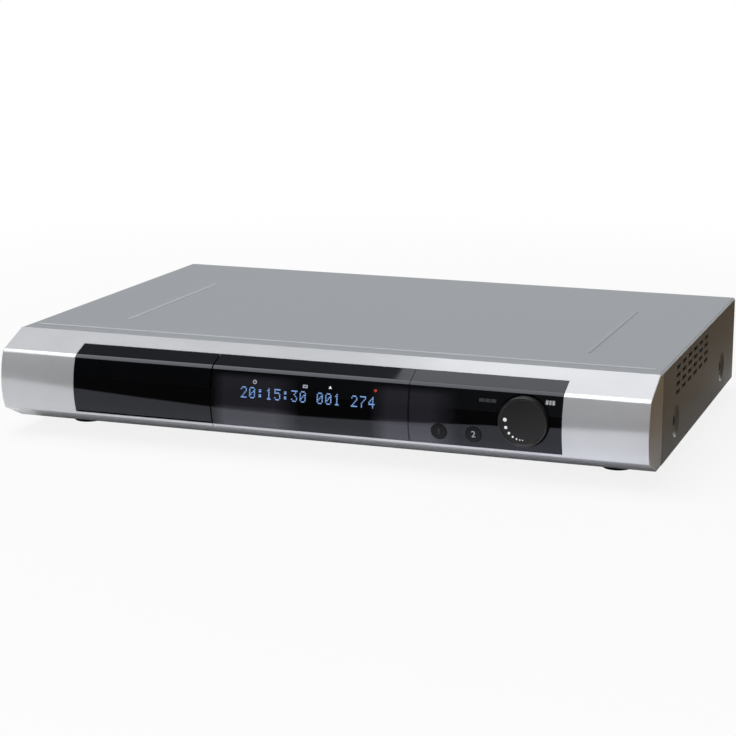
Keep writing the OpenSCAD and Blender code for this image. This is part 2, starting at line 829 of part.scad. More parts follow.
// A round key: its cap follows the curve of the panel and stands a little above it
module key(x) {
    flange_y = face_y(key_z - key_flange_r, window_t) + 0.5;
    color("#101114") at_crease() {
        intersection() {
            rod_y(key_d / 2, x, -nose_d - CUT, flange_y + key_travel / 2, key_z);
            along_x(x - key_d, x + key_d) translate(face_c) circle(face_r + key_proud, $fn = FINE);
        }
        rod_y(key_flange_r, x, flange_y, flange_y + key_flange_t, key_z);
        rod_y(key_stem_r, x, flange_y, key_back_y, key_z);
    }
}

module left_key() {
    key(key_xs[0]);
}

module right_key() {
    key(key_xs[1]);
}

module key_switches() {
    half = key_switch_w / 2;
    color("#c8c9c4") at_crease() for (x = key_xs)
        span([x - half, front_board_y - key_switch_d, key_z - half],
            [x + half, front_board_y, key_z + half]);
}

module front_board() {
    color("#1f5a35") at_crease() difference() {
        span([front_board_x[0], front_board_y, front_board_z[0]],
            [front_board_x[1], front_board_y + board_t, front_board_z[1]]);
        rod_y(plunger_r + cut_gap, knob_x, front_board_y - CUT, front_board_y + board_t + CUT, knob_z);
    }
}

module display_tube() {
    color("#23282b") at_crease()
        span([-tube_w / 2, front_board_y - tube_t, overall_h - tube_drop - tube_h / 2],
            [tube_w / 2, front_board_y, overall_h - tube_drop + tube_h / 2]);
}

// Flat ribbon from the front board back over the tray's front flange to the main board
module front_ribbon() {
    ribbon_w = 7.5;
    ribbon_t = 0.5;
    ribbon_x = main_x1 - ribbon_w;
    start_y = front_board_y + board_t;
    start_z = 22;
    end_y = main_y0 + 6;
    color("#d9d8d2") at_crease() {
        span([ribbon_x, start_y, start_z], [ribbon_x + ribbon_w, end_y, start_z + ribbon_t]);
        span([ribbon_x, end_y - ribbon_t, board_top], [ribbon_x + ribbon_w, end_y, start_z]);
    }
}

// ---------------------------------------------------------------- feet and screws
module feet() {
    chamfer = 1;
    recess_r = screw_head_r + 1.2;
    color("#0d0d0e") at_crease() foot_places() rotate_extrude()
        polygon([[recess_r, 0], [foot_r - chamfer, 0], [foot_r, chamfer], [foot_r, foot_h],
            [shank_hole_r, foot_h], [shank_hole_r, foot_recess_h], [recess_r, foot_recess_h]]);
}

module foot_screws() {
    color("#8b8f92") at_crease() foot_places() {
        rod_z(screw_head_r, 0, 0, foot_recess_h - pan_head_h, foot_recess_h);
        rod_z(screw_r, 0, 0, foot_recess_h - CUT, floor_z + screw_bite);
    }
}

module side_screws() {
    color("#4b463c") at_crease() mirror_x() for (y = dish_ys) {
        rod_x(screw_head_r, seat_x, seat_x + screw_head_h, y, dish_z);
        rod_x(screw_r, tray_half - sheet_t - screw_bite, seat_x + screw_head_h / 2, y, dish_z);
    }
}

module rear_screws() {
    seat_y = rear_tab_y + sheet_t;
    color("#4b463c") at_crease() for (x = rear_screw_xs) {
        rod_y(screw_head_r, x, seat_y, seat_y + screw_head_h, rear_screw_z);
        rod_y(screw_r, x, panel_in_y - screw_bite, seat_y + screw_head_h / 2, rear_screw_z);
    }
}

// ---------------------------------------------------------------- main board
tuner_size = [40, 52, 16];
tuner_front_y = panel_in_y - can_gap - tuner_size[1];
stud_ahead = 18; // distance of a board screw ahead of the tuner cans
main_stud_ys = [cage_rear_y + stud_in + stud_r, tuner_front_y - stud_ahead];
main_studs = concat([for (x = [main_x0 + stud_in, main_x1 - stud_in], y = main_stud_ys) [x, y]],
    [[main_rear_x1 - stud_in, main_rear_y0 + stud_in]]);
power_studs = [for (x = [power_x0 + stud_in, power_x1 - stud_in],
    y = [power_y0 + stud_in, power_y1 - 6 * stud_in]) [x, y]];
all_studs = concat(main_studs, power_studs);

module main_board() {
    color("#1d6a3d") at_crease() difference() {
        union() {
            span([main_x0, main_y0, board_z], [main_x1, main_y1, board_top]);
            span([main_x0, main_rear_y0, board_z], [main_rear_x1, main_y1, board_top]);
        }
        for (p = main_studs) rod_z(shank_hole_r, p[0], p[1], board_z - CUT, board_top + CUT);
    }
}

module board_standoffs() {
    color("#c9a24a") at_crease() for (p = all_studs) difference() {
        translate([p[0], p[1], floor_z]) cylinder(r = stud_r, h = board_gap, $fn = HEX);
        rod_z(shank_hole_r, p[0], p[1], board_z - screw_bite - seat_gap, board_z + CUT);
    }
}

module board_screws() {
    color("#b9bcbf") at_crease() for (p = all_studs) {
        rod_z(screw_head_r, p[0], p[1], board_top, board_top + pan_head_h);
        rod_z(screw_r, p[0], p[1], board_z - screw_bite, board_top + CUT);
    }
}

processor_size = [30, 30, 2.4];
processor_at = [main_x0 + 38, cage_rear_y + 46];
memory_off = 34;
memory_pitch = 18;

module chip(at, size) {
    translate([at[0] - size[0] / 2, at[1] - size[1] / 2, board_top]) cube(size);
}

module processor_heatsink() {
    fins = 9;
    fin_t = 1.2;
    side = 34;
    base_t = 3;
    height = 16;
    x0 = processor_at[0] - side / 2;
    y0 = processor_at[1] - side / 2;
    z0 = board_top + processor_size[2];
    color("#2b2d30") at_crease() {
        span([x0, y0, z0], [x0 + side, y0 + side, z0 + base_t]);
        for (n = [0 : fins - 1]) {
            fin_x = x0 + n * (side - fin_t) / (fins - 1);
            span([fin_x, y0, z0 + base_t / 2], [fin_x + fin_t, y0 + side, z0 + height]);
        }
    }
}

// Processor under its heatsink, memory beside it, and smaller chips
module board_chips() {
    memory_size = [11, 13, 1.2];
    flash_size = [20, 14, 1.4];
    driver_size = [14, 14, 1.4];
    color("#17181a") at_crease() {
        chip(processor_at, processor_size);
        for (row = [-1, 1]) chip(processor_at + [memory_off, row * memory_pitch / 2], memory_size);
        chip(processor_at + [2 * memory_off - memory_pitch, 0], flash_size);
        chip([video_x, (main_rear_y0 + main_y1) / 2], driver_size);
    }
}

// ---------------------------------------------------------------- rear sockets
lan_size = [16, 20, 13.4];
usb_size = [13.4, 16, 15.6];
video_size = [15, 12, 6];
scart_size = [47.4, 18, 21];
phono_size = [40, 12, 13];
optical_size = [9.8, 13, 10];
switch_size = [13, 16, 21];
inlet_size = [24, 22, 15];
phono_pitch = 13;
socket_lip = 1.4; // distance that a board socket stands out of the rear panel
function next_x(x, size, next_size) = x + (size[0] + next_size[0]) / 2 + socket_gap;
lan_x = aerial_x0 + aerials * aerial_pitch;
usb_x = next_x(lan_x, lan_size, usb_size);
video_x = next_x(usb_x, usb_size, video_size);
scart_x = next_x(video_x, video_size, scart_size);
phono_x = next_x(scart_x, scart_size, phono_size);
optical_x = next_x(phono_x, phono_size, optical_size);
lan_z = board_top + lan_size[2] / 2;
usb_z = board_top + usb_size[2] / 2;
video_z = board_top + video_size[2] / 2;
scart_z = board_top + scart_size[2] / 2;
phono_z = board_top + phono_size[2] / 2;
optical_z = board_top + optical_size[2] / 2;

// Box of a board socket, from its lip behind the rear panel
module socket_box(x, size) {
    span([x - size[0] / 2, panel_y + socket_lip - size[1], board_top],
        [x + size[0] / 2, panel_y + socket_lip, board_top + size[2]]);
}

// Recess in a socket's mouth, centred on x and z
module socket_mouth(x, z, w, h, d) {
    span([x - w / 2, panel_y + socket_lip - d, z - h / 2],
        [x + w / 2, panel_y + socket_lip + CUT, z + h / 2]);
}

module tuner_cans() {
    color("#c3c6c8") at_crease() for (pair = [0, 1]) {
        x = aerial_x0 + aerial_pitch * (0.5 + 2 * pair);
        span([x - tuner_size[0] / 2, tuner_front_y, board_top],
            [x + tuner_size[0] / 2, panel_in_y - can_gap, board_top + tuner_size[2]]);
    }
}

module aerial_sockets() {
    pin_hole_r = 0.7;
    pin_hole_d = 7;
    color("#d2d0c6") at_crease() for (n = [0 : aerials - 1]) {
        x = aerial_x0 + n * aerial_pitch;
        difference() {
            union() {
                rod_y(shoulder_r, x, panel_in_y - can_gap, panel_y + nut_t, aerial_z);
                rod_y(aerial_r, x, panel_y, panel_y + aerial_len, aerial_z);
            }
            rod_y(pin_hole_r, x, panel_y + aerial_len - pin_hole_d, panel_y + aerial_len + CUT, aerial_z);
        }
    }
}

module aerial_nuts() {
    nut_r = 6.6;
    color("#c9cbcc") at_crease() for (n = [0 : aerials - 1]) {
        x = aerial_x0 + n * aerial_pitch;
        difference() {
            translate([x, panel_y, aerial_z]) rotate([-90, 0, 0]) cylinder(r = nut_r, h = nut_t, $fn = HEX);
            rod_y(shoulder_r + shaft_gap, x, panel_y - CUT, panel_y + nut_t + CUT, aerial_z);
        }
    }
}

module network_socket() {
    mouth = [11.8, 7.2, 13];
    latch = [6, 3];
    color("#b4b7b9") at_crease() difference() {
        socket_box(lan_x, lan_size);
        socket_mouth(lan_x, lan_z, mouth[0], mouth[1], mouth[2]);
        socket_mouth(lan_x, lan_z - mouth[1] / 2, latch[0], latch[1], mouth[2]);
    }
}

// Contact tongue inside a socket's mouth, short of its lip
module socket_tongue(x, z, w, h, d) {
    span([x - w / 2, panel_y + socket_lip - d - CUT, z - h / 2], [x + w / 2, panel_y, z + h / 2]);
}

module usb_sockets() {
    mouth = [12.2, 5.1, 11];
    tongue = [11, 1.8];
    pitch = 7.8;
    tongue_up = 1.1;
    color("#bfc2c4") at_crease() difference() {
        socket_box(usb_x, usb_size);
        for (z = [usb_z - pitch / 2, usb_z + pitch / 2]) difference() {
            socket_mouth(usb_x, z, mouth[0], mouth[1], mouth[2]);
            socket_tongue(usb_x, z + tongue_up, tongue[0], tongue[1], mouth[2]);
        }
    }
}

module video_socket() {
    mouth = [14, 4.6, 9.4];
    tongue = [11.6, 1.6];
    color("#c2c4c5") at_crease() difference() {
        socket_box(video_x, video_size);
        difference() {
            socket_mouth(video_x, video_z, mouth[0], mouth[1], mouth[2]);
            socket_tongue(video_x, video_z, tongue[0], tongue[1], mouth[2]);
        }
    }
}

// Scart socket: a frame round a block with two rows of contact slits
module scart_socket() {
    wall = 1.2;
    moat = 2.2;
    depth = 13.4;
    slits = 10;
    slit = [1, 3.2, 7];
    slit_pitch = 3.8;
    row_pitch = 6.8;
    color("#17181a") at_crease() difference() {
        socket_box(scart_x, scart_size);
        difference() {
            socket_mouth(scart_x, scart_z, scart_size[0] - 2 * wall, scart_size[2] - 2 * wall, depth);
            socket_tongue(scart_x, scart_z, scart_size[0] - 2 * (wall + moat),
                scart_size[2] - 2 * (wall + moat), depth);
        }
        for (n = [0 : slits - 1], row = [-1, 1])
            socket_mouth(scart_x + (n - (slits - 1) / 2) * slit_pitch, scart_z + row * row_pitch / 2,
                slit[0], slit[1], slit[2]);
    }
}

phono_root = 2; // depth of a sleeve in its block
phono_face_y = panel_in_y - 1;

module phono_block() {
    color("#1a1b1d") at_crease() difference() {
        span([phono_x - phono_size[0] / 2, phono_face_y - phono_size[1], board_top],
            [phono_x + phono_size[0] / 2, phono_face_y, board_top + phono_size[2]]);
        for (n = [-1 : 1])
            rod_y(phono_r, phono_x + n * phono_pitch, phono_face_y - phono_root, panel_y, phono_z);
    }
}

module phono_sleeves() {
    pin_hole_r = 1.6;
    color("#d3d1c8") at_crease() for (n = [-1 : 1]) {
        x = phono_x + n * phono_pitch;
        difference() {
            rod_y(phono_r, x, phono_face_y - phono_root, panel_y + phono_len, phono_z);
            rod_y(pin_hole_r, x, panel_y, panel_y + phono_len + CUT, phono_z);
        }
    }
}

module optical_socket() {
    shutter = [7.4, 7.4, 1.2];
    color("#1b1c1e") at_crease() difference() {
        socket_box(optical_x, optical_size);
        socket_mouth(optical_x, optical_z, shutter[0], shutter[1], shutter[2]);
    }
}

// ---------------------------------------------------------------- power supply
module power_board() {
    color("#b58a45") at_crease() difference() {
        span([power_x0, power_y0, board_z], [power_x1, power_y1, board_top]);
        for (p = power_studs) rod_z(shank_hole_r, p[0], p[1], board_z - CUT, board_top + CUT);
    }
}

// Ferrite core with a taped winding round its middle leg
module power_transformer() {
    core = [34, 30, 26];
    winding = [24, 36, 18];
    leg = 4;
    x = power_x0 + 38;
    y = power_y1 - 70;
    color("#3d3a33") at_crease() translate([x, y, board_top]) {
        translate([-core[0] / 2, -core[1] / 2, 0]) cube(core);
        translate([-winding[0] / 2, -winding[1] / 2, leg]) cube(winding);
    }
}

// One large can by the mains inlet and a row of small ones at the output end
module power_capacitors() {
    large = [11, 30];
    small = [5, 20];
    large_y = power_y1 - 39;
    small_y = power_y1 - 102;
    count = 4;
    pitch = 14;
    color("#20283a") at_crease() {
        rod_z(large[0], power_x1 - 2 * large[0], large_y, board_top, board_top + large[1]);
        for (n = [0 : count - 1])
            rod_z(small[0], power_x0 + pitch * (n + 1), small_y, board_top, board_top + small[1]);
    }
}

module power_heatsink() {
    plate_t = 2;
    fins = 5;
    fin_len = 8;
    height = 28;
    x0 = power_x0 + 14.5;
    y0 = power_y1 - 54;
    length = 40;
    color("#a9adb0") at_crease() {
        span([x0, y0, board_top], [x0 + plate_t, y0 + length, board_top + height]);
        for (n = [0 : fins - 1]) {
            fin_y = y0 + n * (length - plate_t) / (fins - 1);
            span([x0 + plate_t / 2, fin_y, board_top], [x0 + fin_len, fin_y + plate_t, board_top + height]);
        }
    }
}

inlet_flange = 2; // thickness of the flange outside the rear panel
inlet_rim = [3, 1.5]; // reach of the flange past the body
inlet_mouth = [17.2, 8.6, 11];
inlet_pin_pitch = 8.6;
inlet_pin_r = 1.15;
inlet_pin_root_y = panel_y - inlet_size[1] + 4;

// Flange of a mains part against the outside of the rear panel
module panel_flange(x, size, rim, thick) {
    span([x - size[0] / 2 - rim[0], panel_y, mains_z - size[2] / 2 - rim[1]],
        [x + size[0] / 2 + rim[0], panel_y + thick, mains_z + size[2] / 2 + rim[1]]);
}

module mains_inlet() {
    color("#151618") at_crease() difference() {
        union() {
            span([inlet_x - inlet_size[0] / 2, panel_y - inlet_size[1], mains_z - inlet_size[2] / 2],
                [inlet_x + inlet_size[0] / 2, panel_y, mains_z + inlet_size[2] / 2]);
            panel_flange(inlet_x, inlet_size, inlet_rim, inlet_flange);
        }
        along_y(panel_y + inlet_flange - inlet_mouth[2], panel_y + inlet_flange + CUT)
            translate([inlet_x, mains_z]) slot_2d(inlet_mouth[0], inlet_mouth[1]);
        for (side = [-1, 1]) rod_y(inlet_pin_r, inlet_x + side * inlet_pin_pitch / 2,
            inlet_pin_root_y, panel_y, mains_z);
    }
}

module inlet_pins() {
    color("#c7b274") at_crease() for (side = [-1, 1])
        rod_y(inlet_pin_r, inlet_x + side * inlet_pin_pitch / 2,
            inlet_pin_root_y, panel_y + inlet_flange / 4, mains_z);
}

// Rocker: two wings that meet at the pivot, tilted so that one end stands out
rocker_tilt = 9;
rocker_r = 8.8;
rocker_w = 9.6;
rocker_y = panel_y - 3.6; // pivot
rocker_gap = 0.4;
rocker_cavity = [rocker_w + 2 * rocker_gap, 14, 2 * (rocker_r + rocker_gap)];
switch_rim = [1.5, 1.5];
trunnion_r = 1.2;

module switch_housing() {
    color("#161719") at_crease() {
        difference() {
            union() {
                span([switch_x - switch_size[0] / 2, panel_y - switch_size[1],
                    mains_z - switch_size[2] / 2],
                    [switch_x + switch_size[0] / 2, panel_y, mains_z + switch_size[2] / 2]);
                panel_flange(switch_x, switch_size, switch_rim, switch_rim[0]);
            }
            span([switch_x - rocker_cavity[0] / 2, panel_y + switch_rim[0] - rocker_cavity[1],
                    mains_z - rocker_cavity[2] / 2],
                [switch_x + rocker_cavity[0] / 2, panel_y + switch_rim[0] + CUT,
                    mains_z + rocker_cavity[2] / 2]);
        }
        rod_x(trunnion_r, switch_x - rocker_w / 2 - CUT, switch_x + rocker_w / 2 + CUT, rocker_y, mains_z);
    }
}

module mains_rocker() {
    wing_out = 5.4;
    wing_rise = 1.6;
    wing_in = 3.2;
    color("#1f2022") at_crease() difference() {
        along_x(switch_x - rocker_w / 2, switch_x + rocker_w / 2) translate([rocker_y, mains_z])
            rotate(rocker_tilt) intersection() {
                circle(rocker_r);
                polygon([[-wing_in, -rocker_r], [wing_out + wing_rise, -rocker_r], [wing_out, 0],
                    [wing_out + wing_rise, rocker_r], [-wing_in, rocker_r]]);
            }
        rod_x(trunnion_r + shaft_gap, switch_x - rocker_w, switch_x + rocker_w, rocker_y, mains_z);
    }
}

// ---------------------------------------------------------------- hard disk
module hard_disk() {
    deck_h = 3;
    deck_in = 4;
    color("#7f8488") at_crease() difference() {
        union() {
            span([disk_x0, disk_y0, disk_z0], [disk_x1, disk_y1, disk_z0 + disk_h - deck_h]);
            span([disk_x0 + deck_in, disk_y0 + deck_in, disk_z0 + disk_h - deck_h - CUT],
                [disk_x1 - deck_in, disk_y1 - deck_in, disk_z0 + disk_h]);
        }
        for (y = disk_hole_ys, side = [-1, 1])
            rod_x(shank_hole_r, disk_x + side * disk_w / 2 - disk_thread - CUT,
                disk_x + side * disk_w / 2 + disk_thread + CUT, disk_y0 + y, disk_z0 + disk_hole_z);
    }
}

module disk_cradle() {
    color("#a2a7aa") at_crease() difference() {
        union() {
            span([disk_x0 - cradle_t - seat_gap, disk_y0, disk_z0 - cradle_t - seat_gap],
                [disk_x1 + cradle_t + seat_gap, disk_y1, disk_z0 - seat_gap]);
            for (x = [disk_x0 - cradle_t - seat_gap, disk_x1 + seat_gap])
                span([x, disk_y0, disk_z0 - cradle_t], [x + cradle_t, disk_y1, disk_z0 + cradle_wall]);
        }
        for (y = disk_hole_ys)
            rod_x(shank_hole_r, disk_x0 - 2 * cradle_t - CUT, disk_x1 + 2 * cradle_t + CUT,
                disk_y0 + y, disk_z0 + disk_hole_z);
    }
}

module disk_dampers() {
    color("#1a1a1c") at_crease()
        for (x = [disk_x0 + damper_in, disk_x1 - damper_in], y = [disk_y0 + damper_in, disk_y1 - damper_in])
            rod_z(damper_r, x, y, floor_z, disk_z0 - cradle_t - seat_gap);
}

module disk_screws() {
    color("#c0c3c5") at_crease() for (y = disk_hole_ys, side = [-1, 1])
        translate([disk_x, 0, 0]) mirror([side < 0 ? 1 : 0, 0, 0]) {
            head_x = disk_w / 2 + cradle_t + seat_gap;
            rod_x(screw_head_r, head_x, head_x + pan_head_h, disk_y0 + y, disk_z0 + disk_hole_z);
            rod_x(screw_r, disk_w / 2 - disk_thread, head_x + CUT, disk_y0 + y, disk_z0 + disk_hole_z);
        }
}

// Data cable from the rear of the disk down to the main board's rear strip
module disk_cable() {
    cable_w = 9;
    cable_t = 1.2;
    plug = [14, 8, 5];
    x = disk_x0 + 16;
    z = disk_z0 + 5;
    drop_y = main_rear_y0 + 4;
    color("#b5352b") at_crease() {
        span([x - plug[0] / 2, disk_y1, z - plug[2] / 2],
            [x + plug[0] / 2, disk_y1 + plug[1], z + plug[2] / 2]);
        span([x - cable_w / 2, disk_y1 + plug[1] - CUT, z - cable_t / 2],
            [x + cable_w / 2, drop_y, z + cable_t / 2]);
        span([x - cable_w / 2, drop_y - cable_t, board_top], [x + cable_w / 2, drop_y, z]);
    }
}

// Flat bundle of wires from the power board across to the main board, with a plug at each end
module power_harness() {
    wires = 6;
    wire_r = 0.8;
    weld = 0.02; // overlap that joins the wires
    plug = [6, 12, 8.8];
    y0 = main_rear_y0 + 18;
    plug_in = stud_in + screw_head_r + plug[0] / 2 + seat_gap; // clear of the boards' screws
    plug_xs = [main_rear_x1 - plug_in, power_x0 + plug_in];
    color("#c9b23a") at_crease() {
        for (n = [0 : wires - 1])
            rod_x(wire_r + weld, plug_xs[0], plug_xs[1], y0 + (n - (wires - 1) / 2) * 2 * wire_r,
                board_top + plug[2] - 2 * wire_r);
        for (x = plug_xs) translate([x - plug[0] / 2, y0 - plug[1] / 2, board_top]) cube(plug);
    }
}

// ---------------------------------------------------------------- fan
fan_duct_r = fan_s / 2 - 1.5;
fan_hub_r = 9;
fan_pin_r = 1;
fan_boss_r = 8;
fan_boss_t = 2;
fan_end = 1; // room in front of and behind the rotor

module fan_frame() {
    strut_w = 2;
    color("#1b1c1e") at_crease() {
        difference() {
            span([fan_x - fan_s / 2, fan_y0, fan_z - fan_s / 2],
                [fan_x + fan_s / 2, fan_y1, fan_z + fan_s / 2]);
            rod_y(fan_duct_r, fan_x, fan_y0 - CUT, fan_y1 + CUT, fan_z);
        }
        rod_y(fan_boss_r, fan_x, fan_y0, fan_y0 + fan_boss_t, fan_z);
        rod_y(fan_pin_r, fan_x, fan_y0, fan_y1 - 2 * fan_end, fan_z);
        for (turn = [45, 135]) translate([fan_x, fan_y0 + fan_boss_t / 2, fan_z]) rotate([0, turn, 0])
            cube([2 * fan_duct_r + 1, fan_boss_t, strut_w], center = true);
    }
}

module fan_rotor() {
    blade_t = 1.2;
    blade_pitch = 38;
    tip_gap = 0.7;
    y0 = fan_y0 + fan_boss_t + fan_end / 2;
    y1 = fan_y1 - fan_end / 2;
    color("#242629") at_crease() difference() {
        union() {
            rod_y(fan_hub_r, fan_x, y0, y1, fan_z);
            intersection() {
                rod_y(fan_duct_r - tip_gap, fan_x, y0, y1, fan_z);
                for (n = [0 : fan_blades - 1])
                    translate([fan_x, (y0 + y1) / 2, fan_z]) rotate([0, n * 360 / fan_blades, 0])
                        translate([fan_duct_r / 2, 0, 0]) rotate([blade_pitch, 0, 0])
                            cube([fan_duct_r + CUT, 2 * fan_t, blade_t], center = true);
            }
        }
        rod_y(fan_pin_r + shaft_gap, fan_x, y0 - CUT, fan_y1 - 1.5 * fan_end, fan_z);
    }
}

top_cover();
chassis_tray();
rear_panel();
front_moulding();
display_window();
control_panel();
card_flap();
card_bay();
card_cage();
chip_card_reader();
jog_knob();
knob_dots();
encoder_shaft();
encoder_plunger();
encoder_body();
left_key();
right_key();
key_switches();
front_board();
display_tube();
front_ribbon();
feet();
foot_screws();
side_screws();
rear_screws();
main_board();
board_standoffs();
board_screws();
processor_heatsink();
board_chips();
tuner_cans();
aerial_sockets();
aerial_nuts();
network_socket();
usb_sockets();
video_socket();
scart_socket();
phono_block();
phono_sleeves();
optical_socket();
power_board();
power_transformer();
power_capacitors();
power_heatsink();
mains_inlet();
inlet_pins();
switch_housing();
mains_rocker();
hard_disk();
disk_cradle();
disk_dampers();
disk_screws();
disk_cable();
power_harness();
fan_frame();
fan_rotor();
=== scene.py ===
"""Satellite television receiver: a folded steel case with a silver moulded front, a black
gloss window in three sections, a jog knob, two round keys and a drop-down card flap."""

from functools import partial
from math import asin, cos, pi, radians, sin, sqrt

import bpy
from mathutils import Matrix, Vector


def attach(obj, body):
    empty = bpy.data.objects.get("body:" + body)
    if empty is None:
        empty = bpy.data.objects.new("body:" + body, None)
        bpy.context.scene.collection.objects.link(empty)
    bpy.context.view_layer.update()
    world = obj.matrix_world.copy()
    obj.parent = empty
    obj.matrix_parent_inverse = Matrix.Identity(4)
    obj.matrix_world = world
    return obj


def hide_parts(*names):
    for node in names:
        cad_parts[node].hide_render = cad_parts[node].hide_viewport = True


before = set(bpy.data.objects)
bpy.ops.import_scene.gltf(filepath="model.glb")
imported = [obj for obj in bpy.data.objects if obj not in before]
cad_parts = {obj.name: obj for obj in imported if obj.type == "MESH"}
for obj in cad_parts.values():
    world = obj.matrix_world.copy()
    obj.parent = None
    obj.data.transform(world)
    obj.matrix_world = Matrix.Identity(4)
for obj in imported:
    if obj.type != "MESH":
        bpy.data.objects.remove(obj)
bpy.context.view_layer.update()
MM = 0.001


# ------------------------------ camera
# Where the photograph was taken: above the case and off to its right, through a long lens.
# Its aim is a little off the middle of the picture, so the lens is shifted by that much.
eye = Vector((384.1, -1142.77, 288.84)) * MM
look = Vector((-0.3186, 0.9247, -0.2085)).normalized()
tilt = Vector((-0.0726, 0.1955, 0.978))
side = look.cross(tilt).normalized()
lens = bpy.data.cameras.new("camera")
lens.sensor_width = 36
lens.lens = 98.36
lens.shift_x = -0.00685
lens.shift_y = -0.01154
lens.dof.use_dof = False
camera = bpy.data.objects.new("camera", lens)
bpy.context.scene.collection.objects.link(camera)
turn = Matrix((side, side.cross(look), -look)).transposed().to_4x4()
camera.matrix_world = Matrix.Translation(eye) @ turn
bpy.context.scene.camera = camera
bpy.context.scene.view_settings.view_transform = "Standard"


# ------------------------------ studio
# A table with a pale sheet on it that ends in a curved front edge, a wide soft lamp
# overhead and a smaller one behind, in a room whose wall is bright near the table.
def linear(hex_code):
    """The linear colour, with alpha, of an sRGB colour written as six hex digits."""
    parts = [int(hex_code[i : i + 2], 16) / 255 for i in (0, 2, 4)]
    return [p / 12.92 if p <= 0.04045 else ((p + 0.055) / 1.055) ** 2.4 for p in parts] + [1]


def feed(node, inputs):
    """Sets or links a node's inputs, given by name or in order. Where the value is itself a
    node, the first output that it has in use is linked."""
    for name, value in inputs.items() if isinstance(inputs, dict) else enumerate(inputs):
        if isinstance(value, bpy.types.Node):
            value = next(output for output in value.outputs if output.enabled)
        if isinstance(value, bpy.types.NodeSocket):
            node.id_data.links.new(value, node.inputs[name])
        else:
            node.inputs[name].default_value = value


def add(tree, kind, inputs=(), operation=None, **settings):
    """A new shader node with its constants and links, its operation and other settings."""
    node = tree.nodes.new("ShaderNode" + kind)
    if operation:
        node.operation = operation
    for name, value in settings.items():
        setattr(node, name, value)
    feed(node, inputs)
    return node


def cleared(owner):
    """A function that adds nodes to a material or world, which starts with none."""
    owner.use_nodes = True
    owner.node_tree.nodes.clear()
    return partial(add, owner.node_tree)


def deselect():
    """Leaves nothing selected, in object mode."""
    if bpy.context.mode != "OBJECT":
        bpy.ops.object.mode_set(mode="OBJECT")
    bpy.ops.object.select_all(action="DESELECT")


def pick(*pieces):
    """Selects pieces alone, with the first one active."""
    deselect()
    for piece in pieces:
        piece.select_set(True)
    bpy.context.view_layer.objects.active = pieces[0]


deselect()
bpy.ops.mesh.primitive_plane_add(size=24, location=(0, 4, 0))
table = bpy.context.active_object
table.name = "table"
bpy.ops.object.transform_apply(location=True)
sheet = bpy.data.materials.new("paper_sheet")
put = cleared(sheet)
spot = put("TexCoord").outputs["Object"]
x, y = put("SeparateXYZ", [spot]).outputs[:2]

# The sheet's front edge bows back to 183 mm ahead of the case's middle, 24 mm to its left,
# and runs forward from there to both ends, twice as fast on the right. The sheet ends 205 mm
# to the right, and the bare table beyond it is brown.
off = put("Math", [x, 0.024], "ADD")
far_side = put("Math", [off, 0.0], "GREATER_THAN")
bow = put("Math", [far_side, 1.9, 1.9], "MULTIPLY_ADD")
square = put("Math", [off, off], "MULTIPLY")
edge = put("Math", [square, bow, 0.183], "MULTIPLY_ADD")
edge = put("Math", [edge, 0.6], "MINIMUM")
inside = put("Math", [y, edge], "ADD")
front_part = put("MapRange", [inside, -0.003, 0.003])
right_part = put("MapRange", [x, 0.22, 0.19])
paper = put("Math", [front_part, right_part], "MULTIPLY")
wood = {0: right_part, 6: linear("6B5434"), 7: linear("2A2725")}
wood = put("Mix", wood, data_type="RGBA")
tone = put("Mix", {0: paper, 6: wood, 7: linear("E6E6E4")}, data_type="RGBA")
matt = put("BsdfDiffuse", {"Color": tone})

# What reflects in the front's lower bevel: a glow of the sheet from 140 mm forward, stronger
# close to the case and to the right.
ahead = put("MapRange", [y, -0.128, -0.142])
close = put("MapRange", [y, -0.165, -0.148, 1.0, 1.7])
graded = put("MapRange", [x, -0.2, 0.2, 0.09, 0.34])
lift = paper
for part in (ahead, close, graded):
    lift = put("Math", [lift, part], "MULTIPLY")
glow = put("Emission", {"Color": (0.9, 0.92, 1.1, 1), "Strength": lift})
lit = put("AddShader", [matt, glow])

# What the camera sees: white away from the case, and the case's shadow near it. In the
# shade of the case the sheet has no glow to show through its vents.
pale = put("BsdfDiffuse", {"Color": linear("E6E6E6")})
white = put("Emission", {"Strength": 1.0})
away = put("VectorMath", [spot], "LENGTH")
fade = put("MapRange", [away, 0.25, 0.9, 0.86, 1.0])
under = [
    put("Math", [along, 0.0, reach], "COMPARE")
    for along, reach in ((x, 0.15), (y, 0.082))
]
shaded = put("Math", under, "MULTIPLY")
fade = put("Math", [fade, shaded], "SUBTRACT", use_clamp=True)
seen = put("MixShader", [fade, pale, white])
ray = put("LightPath").outputs["Is Camera Ray"]
put("OutputMaterial", {"Surface": put("MixShader", [ray, lit, seen])})
table.data.materials.append(sheet)

# The room is dark in front and warm on the right. The wall behind is bright near the table,
# most of all in a low window at its right.
room = bpy.data.worlds.new("room")
put = cleared(room)
x, y, z = put("SeparateXYZ", [put("TexCoord").outputs["Generated"]]).outputs
depth = put("MapRange", [y, -0.6, 0.6])
rise = put("MapRange", [z, 0.1, 0.36])
far_wall = {0: rise, 6: (1.15, 1.16, 1.18, 1), 7: (0.24, 0.25, 0.27, 1)}
far_wall = put("Mix", far_wall, data_type="RGBA")
ahead = put("MapRange", [x, -0.4, -0.15, 0.04, 0.16])
back = put("Mix", {0: depth, 6: ahead, 7: far_wall}, data_type="RGBA")
warm = put("MapRange", [x, 0.25, 0.8])
tint = put("Mix", {0: warm, 6: back, 7: (0.12, 0.092, 0.05, 1)}, data_type="RGBA")
beside = put("MapRange", [x, 0.17, 0.27, 0.0, 1.2])
level = put("MapRange", [z, 0.3, 0.16])
window = put("Math", [beside, level], "MULTIPLY")
behind = put("Math", [y, 0.8], "GREATER_THAN")
across = put("MapRange", [x, -0.5, -0.15, 0.74, 1.04])
